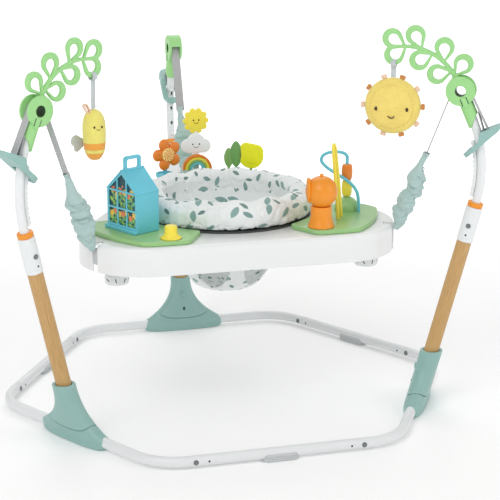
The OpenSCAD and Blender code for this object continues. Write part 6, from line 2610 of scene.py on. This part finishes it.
@dataclass
class House:
    """Window house with bars, a sill, a carrying handle and a picture behind the bars."""

    at: Point = (208, 262)
    width: float = 98.0
    depth: float = 60.0
    eave: float = 86.0
    ridge: float = 130.0
    wall: float = 3.0
    bar: float = 4.0
    sill: float = 12.0
    handle_w: float = 44.0
    handle_h: float = 30.0

    @property
    def frame(self) -> Matrix:
        """Frame with its first axis along the house, second up and third outwards."""
        return placed(self.at, LINES.toy_floor) @ ACROSS

    def gable(self, inset: float) -> list[Point]:
        """Outline of the gable end."""
        w = self.width / 2 - inset
        return [(-w, 0), (w, 0), (w, self.eave), (0, self.ridge - 1.4 * inset), (-w, self.eave)]

    def panes(self) -> list[list[Point]]:
        """Openings between the window bars.

        Returns:
            Outlines of the openings.
        """
        w, h = (self.width - 12 - 2 * self.bar) / 3, (self.eave - self.sill) / 2 - self.bar
        openings = []
        for i in (-1, 0, 1):
            for j in (0, 1):
                mid = (i * (w + self.bar), self.sill + j * (h + self.bar) + h / 2)
                openings.append(rounded_box(w, h, 1.6, mid, steps=3))
        half, wide = w / 2, self.width / 2 - 7
        top = self.ridge - 9.8
        slope = (top - self.eave) / wide
        edge = top - half * slope
        openings.append([(-half, self.eave), (half, self.eave), (half, edge), (0, top), (-half, edge)])
        near = half + self.bar
        for side in (-1, 1):
            corners = [(near, self.eave), (wide, self.eave), (near, top - near * slope)]
            openings.append([(side * x, y) for x, y in corners])
        return openings

    def build(self) -> None:
        """Builds and dresses the house and its picture."""
        shell, t = Draft(), self.wall
        shell.plate([self.gable(0)] + self.panes(), t, 0.9, self.frame @ moved(0, 0, self.depth / 2 - t / 2))
        shell.plate([self.gable(0)], t, 0.9, self.frame @ moved(0, 0, t / 2 - self.depth / 2))
        slope = math.degrees(math.atan2(self.ridge - self.eave, self.width / 2))
        run = math.hypot(self.ridge - self.eave, self.width / 2)
        for side in (-1, 1):
            wall = self.frame @ moved(side * (self.width - t) / 2, self.eave / 2, 0) @ turned(90, "X")
            shell.plate([rounded_box(t, self.depth - 2, 0.8)], self.eave - 1, 0.5, wall)
            roof = self.frame @ moved(side * self.width / 4, (self.eave + self.ridge) / 2, 0)
            roof = roof @ turned(-side * slope, "Z") @ moved(0, -t / 2 + 0.4, 0)
            shell.plate([rounded_box(run + 3, t, 1.2)], self.depth + 2, 0.9, roof)
        sill = self.frame @ moved(0, 4, self.depth / 2 + 2.5)
        shell.plate([rounded_box(self.width + 4, 8, 2.6)], 8, 1.4, sill)
        self.handle(shell)
        dress(shell.build("window_house", BLUE), "tray", "blue_plastic", "house")
        self.picture()

    def handle(self, shell: Draft) -> None:
        """Adds the boxy handle along the ridge.

        Args:
            shell: Draft of the house.
        """
        half, high, band = self.handle_w / 2, self.handle_h, 7.0
        outer = [(-half, 0), (half, 0)] + arc((half - band, high - band), band, 0, 90, 8)
        outer += arc((band - half, high - band), band, 90, 180, 8)
        hole = rounded_box(self.handle_w - 2 * band, high - band - 4, 4, (0, (high - band + 4) / 2))
        place = self.frame @ moved(0, self.ridge - 3, 0) @ turned(90, "Y")
        shell.plate([outer, hole], 8, 2.0, place, rounds=4)

    def picture(self) -> None:
        """Makes the picture panel: a generic plant pattern."""
        panel, t = Draft(), 1.5
        top = self.eave + 30.8
        outline = [p for p in self.gable(self.wall + 0.75) if p[1] <= top]
        cut_x = 4.2 + (self.ridge - top) * self.width / 2 / (self.ridge - self.eave) - 6
        outline = outline[:3] + [(cut_x, top), (-cut_x, top)] + outline[3:]
        base = self.frame @ moved(0, 0.15, self.depth / 2 - self.wall - 0.15 - t / 2)
        panel.plate([outline], t, 0.1, base)
        over = base @ moved(0, 0, t / 2 + 0.05)
        for i in range(13):
            low, high = (5, 22 + 10 * abs(sin(67 * i + 20))) if i < 7 else (47, 24 + 12 * abs(sin(67 * i)))
            x = -37 + 12.3 * i if i < 7 else -31 + 12.3 * (i - 7)
            stem = shifted([(0, -0.6), (high, -0.4), (high, 0.4), (0, 0.6)], x, low, 90)
            panel.plate([stem], 0.2, 0.02, over, 1)
            for j in range(4):
                side = 1 if (i + j) % 2 else -1
                blade = leaf_outline(17 - 1.6 * j + 2 * sin(50 * i), 8.4 - 0.7 * j)
                turn = 90 - side * (58 - 7 * j)
                blade = shifted(blade, x, low + 3 + j * high / 4.4, turn)
                panel.plate([blade], 0.24, 0.02, over, 1 + (i + j) % 2)
            bloom = [(4.4 * cos(36 * k), 4.4 * sin(36 * k), 2.7) for k in range(0, 10, 2)]
            panel.plate([shifted(union_outline(bloom, 40), x, low + high + 2)], 0.3, 0.02, over, 3 + i % 2)
        for i in range(5):
            dot = arc((0, 0), 1.5 + 0.5 * (i % 3), 0, 330, 11)
            dot = shifted(dot, -24 + 12 * i, 80 + 14 * sin(45 * i))
            panel.plate([dot], 0.24, 0.02, over, 3 + (i + 1) % 2)
        inks = [Moulded("picture_" + name, srgb(*colour), roughness=0.5) for name, colour in PICTURE_INKS]
        piece = panel.build("house_picture_panel", *inks)
        dress(piece, "tray", "picture_card", "house_picture")


PICTURE_INKS: tuple = (
    ("deep", (26, 76, 86)),
    ("leaf", (158, 202, 92)),
    ("sprig", (96, 176, 132)),
    ("bloom", (246, 196, 74)),
    ("coral", (232, 128, 84)),
)


@dataclass
class Rainbow:
    """Rainbow with its pin, and the cloud and sun that rock on it."""

    at: Point = (90, 270)
    radius: float = 35.5
    band: float = 6.0
    base_h: float = 30.0
    thick: float = 12.0
    pin_z: float = 14.85
    cloud_z: float = 87.85
    sun_z: float = 144.85
    sun_r: float = 26.0

    @property
    def frame(self) -> Matrix:
        """Frame with its first axis along the tray, second up and third outwards."""
        return placed(self.at, LINES.toy_floor) @ ACROSS

    def build(self) -> None:
        """Builds and dresses both pieces."""
        bow = Draft()
        bow.plate([rounded_box(40, self.base_h, 3, (0, self.base_h / 2))], self.thick, 1.6, self.frame, 2)
        for i in range(4):
            out, inn = self.radius - i * self.band, self.radius - (i + 1) * self.band + 0.3
            ring = arc((0, 0), out, 0, 180, 40) + arc((0, 0), inn, 180, 0, 40)
            bow.plate([ring], self.thick - (i % 2), 1.1, self.frame @ moved(0, self.base_h, 0), i)
        pin = [(3, 0), (3, 17.5), (2.4, 18.2), (0, 18.2)]
        bow.lathe(pin, self.frame @ moved(0, self.pin_z, 0), sides=24, paint=0)
        mats = (DEEP_ORANGE, YELLOW, SPROUT, BLUE)
        dress(bow.build("rainbow_bands", *mats), "tray", "orange_plastic", "rainbow")
        self.rocker()

    def rocker(self) -> None:
        """Makes the cloud and the sun on their stem."""
        plate, mid = Draft(), 9.9
        place = self.frame @ moved(0, 0, mid)
        ring = arc((0, self.pin_z), 7, 180, 360, 20)
        stem = ring + [(7, 70), (6, 125), (-6, 125), (-7, 70)]
        hole = arc((0, self.pin_z), 3.4, 0, 345, 23)
        plate.plate([stem, hole], 5.5, 1.0, place)
        lobes = [(0, 5, 22), (-19, -4, 17), (19, -3, 17), (-9, -9, 12), (9, -9, 12), (0, -9, 12)]
        cloud = [(x, y + self.cloud_z) for x, y in union_outline(lobes)]
        plate.plate([cloud], 7, 2.4, place, 0, rounds=4)
        rays = [(24 * cos(36 * k), 24 * sin(36 * k), 7) for k in range(10)] + [(0, 0, self.sun_r)]
        plate.plate([[(x, y + self.sun_z) for x, y in union_outline(rays)]], 7, 2.4, place, 1, rounds=4)
        disc = [(20, 0), (19.4, 1.2), (14, 2.2), (0, 2.6)]
        for way in (0, 180):
            side = place @ turned(way, "Y")
            plate.lathe(disc, side @ moved(0, self.sun_z, 2.6), sides=48, paint=1)
            smile(plate, side @ moved(0, self.sun_z, 5.1), 1.9, 6.5, 6, 2)
            smile(plate, side @ moved(0, self.cloud_z - 1, 3.5), 1.9, 8, 6, 2)
        mats = (CLOUD, YELLOW, INK)
        dress(plate.build("rocking_cloud", *mats), "cloud_sun", "white_plastic", "cloud_sun")


@dataclass
class Flower:
    """Flower that spins on a stalk in a pot."""

    at: Point = (108, 264)
    petal_r: float = 14.0
    petal_at: float = 24.0
    centre_z: float = 75.85
    face_x: float = -8.0

    def build(self) -> None:
        """Builds and dresses the pot and the flower."""
        base = placed(self.at, LINES.toy_floor)
        side = [(16, 0), (17, 1), (19.6, 22), (22, 22.6), (22, 29), (21, 30), (18, 30), (17.5, 27), (0, 27)]
        pot = Draft().lathe(side, base)
        stalk = self.centre_z
        pot.lathe([(5, 20), (5, stalk), (4, stalk + 1.5), (0, stalk + 2)], base, sides=32)
        pin = base @ moved(5, 0, stalk) @ turned(-90, "Y")
        pot.lathe([(4, 0), (4, 21.4), (3.4, 22), (0, 22)], pin, sides=24)
        dress(pot.build("flower_pot_stalk", BLUE), "tray", "blue_plastic", "flower_pot")
        bloom, r = Draft(), self.petal_r
        face = base @ moved(self.face_x, 0, stalk) @ turned(-90, "Y")
        dome = [(r - 1.5, 0), (r, 1.2), (r + 0.3, 3), (r - 1, 5.4), (r * 0.7, 7.8), (r * 0.35, 8.8), (0, 9)]
        for k in range(5):
            bloom.lathe(dome, face @ turned(72 * k + 18, "Z") @ moved(self.petal_at, 0, 0), sides=48)
        bloom.lathe([(19, 0.4), (20, 1.5), (20, 6), (18, 7.5)], face, sides=48)
        bloom.lathe([(15.5, 6), (15.5, 9.4), (14.5, 10.4), (9, 11), (0, 11.2)], face, sides=48, paint=1)
        for k in range(10):
            turns = [(r, 36 * k + 5 * r) for r in range(2, 15)]
            arm = [Vector((r * cos(t), r * sin(t), 11.5 - 0.06 * r)) for r, t in turns]
            bloom.tube(arm, lambda u: 0.4 + 0.7 * u, face, sides=8, paint=0)
        dress(bloom.build("spinning_flower", DEEP_ORANGE, CREAM), "flower", "orange_plastic", "flower")


@dataclass
class SmallToys:
    """Push button, tulip, spinner, beads and their wires."""

    button_at: Point = (232, 279)
    tulip_at: Point = (62, 258)
    spinner_at: Point = (306, 263)
    hill_at: Point = (342, 268)
    loop_at: Point = (325, 264)
    wire_r: float = 3.5
    bead_r: float = 12.0
    bead_h: float = 35.6
    blue_route: tuple = (
        (0, 0, 24), (0, 0, 70), (0, 0, 114), (0, 0, 118), (-5, 0, 125), (-18, 0, 129),
        (-38, 0, 128), (-53, 1, 121), (-56, 3, 108), (-42, 7, 94), (-18, 13, 80), (8, 19, 63),
        (22, 21, 44), (26, 21, 20), (26, 21, 10), (26, 21, 0),
    )  # fmt: skip
    yellow_route: tuple = (
        (-12, 0, 0), (-11, -5, 60), (-9, -11, 120), (-7, -14, 150), (0, -15, 160),
        (7, -14, 150), (9, -11, 120), (11, -5, 60), (12, 0, 0),
    )  # fmt: skip

    def build(self) -> None:
        """Builds and dresses the small toys."""
        self.button()
        self.tulip()
        self.spinner()
        self.wires()
        self.beads()

    def button(self) -> None:
        """Makes the push button with its flared skirt."""
        profile = [(21, 0), (22, 0.8), (22, 2.6), (21, 3.4), (17, 6), (14.4, 9.5), (13.2, 13), (13, 24)]
        profile += arc((9, 24), 4, 0, 90, 6) + [(5, 27.6), (0, 27.2)]
        piece = Draft().lathe(profile, placed(self.button_at, LINES.mat_top - 1), sides=64)
        dress(piece.build("press_button", YELLOW), "push_button", "yellow_plastic", "push_button")

    def tulip(self) -> None:
        """Makes the tulip and its two leaves on their pin."""
        draft = Draft()
        place = placed(self.tulip_at, LINES.mat_top + 26) @ ACROSS
        draft.lathe([(3, 0), (3, 76)], place @ moved(-18, 0, 0) @ turned(90, "Y"), sides=24, paint=1)
        draft.plate([rounded_box(6, 22, 1.5, (0, 9))], 5, 1.2, place, 1)
        lobes = [(0, 0, 30), (11, 17, 15), (-12, 10, 18)]
        draft.plate([shifted(union_outline(lobes), 0, 38)], 6, 2.4, place, 0, rounds=4)
        petal = shifted(union_outline([(0, 0, 15), (0, 14, 8)], 64), 3, 34)
        for way in (0, 180):
            draft.plate([petal], 1.4, 0.6, place @ turned(way, "Y") @ moved(0, 0, 3), 0)
        for x, high, paint in ((36, 76, 1), (54, 58, 2)):
            blade = shifted(leaf_outline(high * 0.84, high * 0.4, 24, 0.6), x, high * 0.12, 90)
            back = place @ moved(0, 0, 0.4 * paint - 1.2)
            draft.plate([blade], 4.4, 1.8, back, paint)
            draft.plate([rounded_box(6, 18, 1.5, (x, 8))], 4.2, 1.0, back, paint)
            for way in (2.1, -2.1):
                vein = [Vector((x, high * share, way)) for share in (0.2, 0.55, 0.86)]
                draft.tube(vein, 0.6, back, sides=6, paint=3 - paint)
        mats = (LEMON, FOLIAGE, SPROUT)
        dress(draft.build("flip_tulip", *mats), "tulip", "yellow_plastic", "tulip")

    def spinner(self) -> None:
        """Makes the spinner's pot and its round drum with a brim."""
        base = placed(self.spinner_at, LINES.toy_floor)
        cone = [(27, 0), (28, 1), (27.6, 6), (25, 10), (22.4, 24), (22, 40)]
        cone += [(22, 44.5), (21, 45.4), (5, 45.4), (5, 61), (0, 61)]
        pot = Draft().lathe(cone, base, sides=72)
        dress(pot.build("spinner_pot", ORANGE), "tray", "orange_plastic", "spinner_base")
        place = placed(self.spinner_at, LINES.mat_top + 46)
        r = 34.0
        ball = [(14, 0), (16, 0.4), (16, 2)]
        ball += [(r * sin(p), r - 3.8 - (r - 0.5) * cos(p)) for p in range(26, 178, 6)]
        drum = Draft().lathe(ball + [(0, 2 * r - 5)], place, sides=96)
        drum.lathe([(4, 60), (4, 67), (3, 68.5), (0, 69)], place, sides=24)
        brim = place @ turned(-140)
        brim = brim @ moved(25, 0, r) @ turned(90, "Y")
        bulge = [(21, -3), (24.6, -0.6), (26.4, 1.6), (26.2, 3.4), (24.4, 5), (19, 6.3), (10, 7), (0, 7.2)]
        drum.lathe(bulge, brim, sides=64)
        dress(drum.build("turning_drum", ORANGE), "spinner", "orange_plastic", "spinner")

    def wires(self) -> None:
        """Makes the two bead wires."""
        low = LINES.toy_floor
        blue = smooth_path([Vector((x, -y, z)) for x, y, z in self.blue_route], 8)
        wire = Draft().tube(blue, self.wire_r, placed(self.hill_at, low), sides=18)
        dress(wire.build("bead_wire", BLUE), "tray", "blue_plastic", "wire_blue")
        loop = smooth_path([Vector((y, x, z)) for x, y, z in self.yellow_route], 8)
        wire = Draft().tube(loop, self.wire_r, placed(self.loop_at, low), sides=18)
        dress(wire.build("loop_wire", YELLOW), "tray", "yellow_plastic", "wire_yellow")

    def beads(self) -> None:
        """Makes the smooth bead and the ridged bead."""
        half, r, bore = self.bead_h / 2, self.bead_r, 4.0
        for name, low, ridges in (("bead_orange", 66.8, 0.0), ("bead_yellow", 30.5, 0.9)):
            rings = []
            for i in range(41):
                z = -half + self.bead_h * i / 40
                swell = (r - ridges) * (0.7 + 0.3 * math.sqrt(max(0.0, 1 - (z / half) ** 2)))
                end = min(1.0, (half - abs(z)) / 2.2)
                ring = []
                for j in range(72):
                    t = 5 * j
                    ridge = ridges * (abs(sin(6 * t)) - 0.6) * end
                    rr = max(bore + 1.2, swell * (0.8 + 0.2 * math.sqrt(end)) + ridge)
                    ring.append(Vector((rr * cos(t), rr * sin(t), z)))
                rings.append(ring)
            inner = [circle(bore, z, 72) for z in (half, -half)]
            place = placed(self.hill_at, LINES.toy_floor + low + half)
            bead = Draft().loft(rings + inner, place, loop=True)
            finish = DEEP_ORANGE if name == "bead_orange" else YELLOW
            slot = "orange_plastic" if name == "bead_orange" else "yellow_plastic"
            dress(bead.build(name + "_barrel", finish), name, slot, name)


@dataclass
class SoftToys:
    """Plush bee and plush sun that hang from the branches by ribbons."""

    ribbon_half: float = 5.5
    ribbon_t: float = 1.2
    loop_r: float = 7.26
    bee_r: float = 24.0
    bee_len: float = 106.0
    bee_drop: float = 66.0
    sun_r: float = 60.0
    sun_swell: float = 19.0
    sun_drop: float = 30.0
    sun_mid: float = -90.3
    rays: int = 10
    stripes: tuple = ((0.03, 0.16), (0.23, 0.36))

    def build(self) -> None:
        """Builds and dresses both toys."""
        self.ribbon(Leg.LEFT, "bee", "bee_ribbon", self.bee_drop)
        self.ribbon(Leg.RIGHT, "plush_sun", "sun_ribbon", self.sun_drop)
        self.bee()
        self.bee_wings()
        self.sun()
        self.sun_rays()

    def hang(self, leg: Leg) -> Matrix:
        """Frame of a toy at the point where it hangs."""
        pivot = Branches().toy_pivot
        return leg.turn @ stood(pivot)

    def ribbon(self, leg: Leg, body: str, node: str, drop: float) -> None:
        """Makes a ribbon with its loop round the leaf.

        Args:
            leg: The leg whose branch holds the toy.
            body: Body that the ribbon rides on.
            node: Node that it stands for.
            drop: Distance from the pivot to the ribbon's lower end.
        """
        w, t, r = self.ribbon_half, self.ribbon_t, self.loop_r
        draft = Draft()
        band = [(r, -w), (r + t, -w), (r + t, w), (r, w)]
        draft.lathe(band, self.hang(leg) @ turned(90, "Y"), sides=48, loop=True)
        rings = []
        for i in range(21):
            z = -r - 0.7 - (drop - r - 0.7) * i / 20
            sway = 0.5 * sin(18 * i)
            rings.append([Vector((x, y + sway, z)) for x, y in rounded_box(2 * w, t, 0.5, steps=2)])
        draft.loft(rings, self.hang(leg))
        dress(draft.build(node + "_strip", RIBBON), body, "grey_webbing", node)

    def bee_radius(self, u: float) -> float:
        """Radius of the bee at a share of its length."""
        ends = max(0.0, 1 - abs(2 * u - 1) ** 3.4)
        return max(1.0, self.bee_r * math.sqrt(ends) * (0.97 + 0.03 * sin(300 * u + 240)))

    def bee(self) -> None:
        """Makes the bee's body, blown up by its filling, with stripes, a face and a loop."""
        place = self.hang(Leg.LEFT)
        low, n = -self.bee_drop - self.bee_len - 0.3, 48
        rings = []
        for i in range(57):
            u = i / 56
            r = self.bee_radius(u)
            rings.append(circle(r, low + self.bee_len * u, n))
        body = Draft().loft(rings, place)
        piece = body.build("bee_plush_body", LEMON_PLUSH, STRIPE, crease=SOFT_CREASE)
        puff(piece, 3.0, 2.0)
        bottom = min(v.co.z for v in piece.data.vertices)
        span = max(v.co.z for v in piece.data.vertices) - bottom
        for face in piece.data.polygons:
            u = (face.center.z - bottom) / span
            face.material_index = int(any(a < u < b for a, b in self.stripes))
        refine(piece, 1)
        dress(piece, "bee", "yellow_plush", "bee_body")
        trim = Draft()
        face = place @ turned(-18) @ moved(0, self.bee_radius(0.7) + 0.2, low + self.bee_len * 0.66)
        smile(trim, face @ turned(-90, "X") @ turned(180, "Z"), 1.9, 8, 4.0, 0)
        tab = place @ moved(14, 0, low + self.bee_len - 4) @ turned(32, "Y") @ turned(90, "X")
        trim.plate([rounded_box(9, 20, 2.4, (0, 8)), rounded_box(6, 17, 1.5, (0, 8))], 9, 0.3, tab, 1)
        dress(trim.build("bee_trim", INK, FELT_PEACH), "bee", "yellow_plush")
        seams = []
        for a, b in self.stripes:
            for u in (a, b):
                r = self.bee_radius(u) + 0.5
                z = low + self.bee_len * u
                seams.append([place @ Vector((r * cos(t), r * sin(t), z)) for t in range(0, 360, 6)])
        dress(stitched("bee_seams", seams, STITCH), "bee", "yellow_plush")

    def bee_wings(self) -> None:
        """Makes the felt wings with a stitched edge."""
        low = -self.bee_drop - self.bee_len - 0.3
        place = self.hang(Leg.LEFT) @ moved(0, -self.bee_radius(0.48) - 1.8, low + 34.5) @ UPRIGHT
        lobes = [(28, 6, 12), (-28, 6, 12), (25, -9, 8), (-25, -9, 8), (14, 0, 9)]
        lobes += [(-14, 0, 9), (0, 0, 8), (20, 0, 9), (-20, 0, 9)]
        outline = union_outline(lobes, 160)
        wings = Draft().plate([outline], 3, 0.8, place)
        dress(wings.build("bee_felt_wings", FELT_GREY), "bee", "grey_felt", "bee_wings")
        for way in (1.55, -1.55):
            path = [place @ Vector((0.88 * x, 0.86 * y, way)) for x, y in outline]
            dress(stitched("wing_seam_%d" % (way > 0), [path], STITCH), "bee", "grey_felt")

    def sun_face(self, r: float) -> float:
        """Depth of the plush sun's face at a distance from its centre."""
        share = min(1.0, (r / self.sun_r) ** (1 / 0.7))
        return self.sun_swell * math.sqrt(1 - share * share)

    def sun(self) -> None:
        """Makes the sun's body, blown up by its filling, with a face and a sewn ring."""
        place = self.hang(Leg.RIGHT) @ moved(0, 0, self.sun_mid)
        turns = [-88 + 176 * i / 36 for i in range(37)]
        profile = [(self.sun_r * cos(t) ** 0.7, self.sun_swell * sin(t)) for t in turns]
        body = Draft().lathe(profile, place @ turned(90, "X"), sides=96)
        piece = body.build("sun_plush_body", PLUSH, crease=SOFT_CREASE)
        puff(piece, 3.0, 2.0)
        refine(piece, 1)
        dress(piece, "plush_sun", "yellow_plush", "sun_body")
        trim = Draft()
        face = place @ moved(0, -self.sun_face(34) - 1.6, -8) @ turned(90, "X")
        smile(trim, face, 3.3, 33, 0, 0)
        mouth = place @ moved(0, -self.sun_face(20) - 1.6, 0) @ turned(90, "X")
        trim.tube([Vector((x, y, 0)) for x, y in arc((0, -16), 7.5, 205, 335, 16)], 1.1, mouth, sides=8)
        dress(trim.build("sun_face", INK), "plush_sun", "yellow_plush")
        r = 46.0
        paths = []
        for way in (-1, 1):
            depth = way * (self.sun_face(r) + 1.0)
            paths.append([place @ Vector((r * cos(t), depth, r * sin(t))) for t in range(0, 360, 4)])
        dress(stitched("sun_seams", paths, STITCH), "plush_sun", "yellow_plush")

    def sun_rays(self) -> None:
        """Makes the felt tabs round the sun, in two colours by turns."""
        place = self.hang(Leg.RIGHT) @ moved(0, 0, self.sun_mid)
        tabs = Draft()
        for i in range(self.rays):
            frame = place @ turned(18 + 36 * i, "Y") @ moved(0, 0, self.sun_r + 4.2) @ UPRIGHT
            tabs.plate([rounded_box(13, 8.4, 2.6)], 3, 0.8, frame, i % 2)
        piece = tabs.build("sun_felt_rays", FELT_ORANGE, FELT_PEACH)
        dress(piece, "plush_sun", "orange_felt", "sun_rays")


def main() -> None:
    """Builds the whole jumper, one sub-assembly after another."""
    Studio().build()
    assemblies = (
        BaseFrame(), Feet(), Posts(), Heads(), Branches(), Straps(), Adjusters(), Hangers(),
        Tray(), Seat(), House(), Rainbow(), Flower(), SmallToys(), SoftToys(),
    )  # fmt: skip
    for assembly in assemblies:
        LOG.info("building %s", type(assembly).__name__)
        assembly.build()


if __name__ == "__main__":
    main()
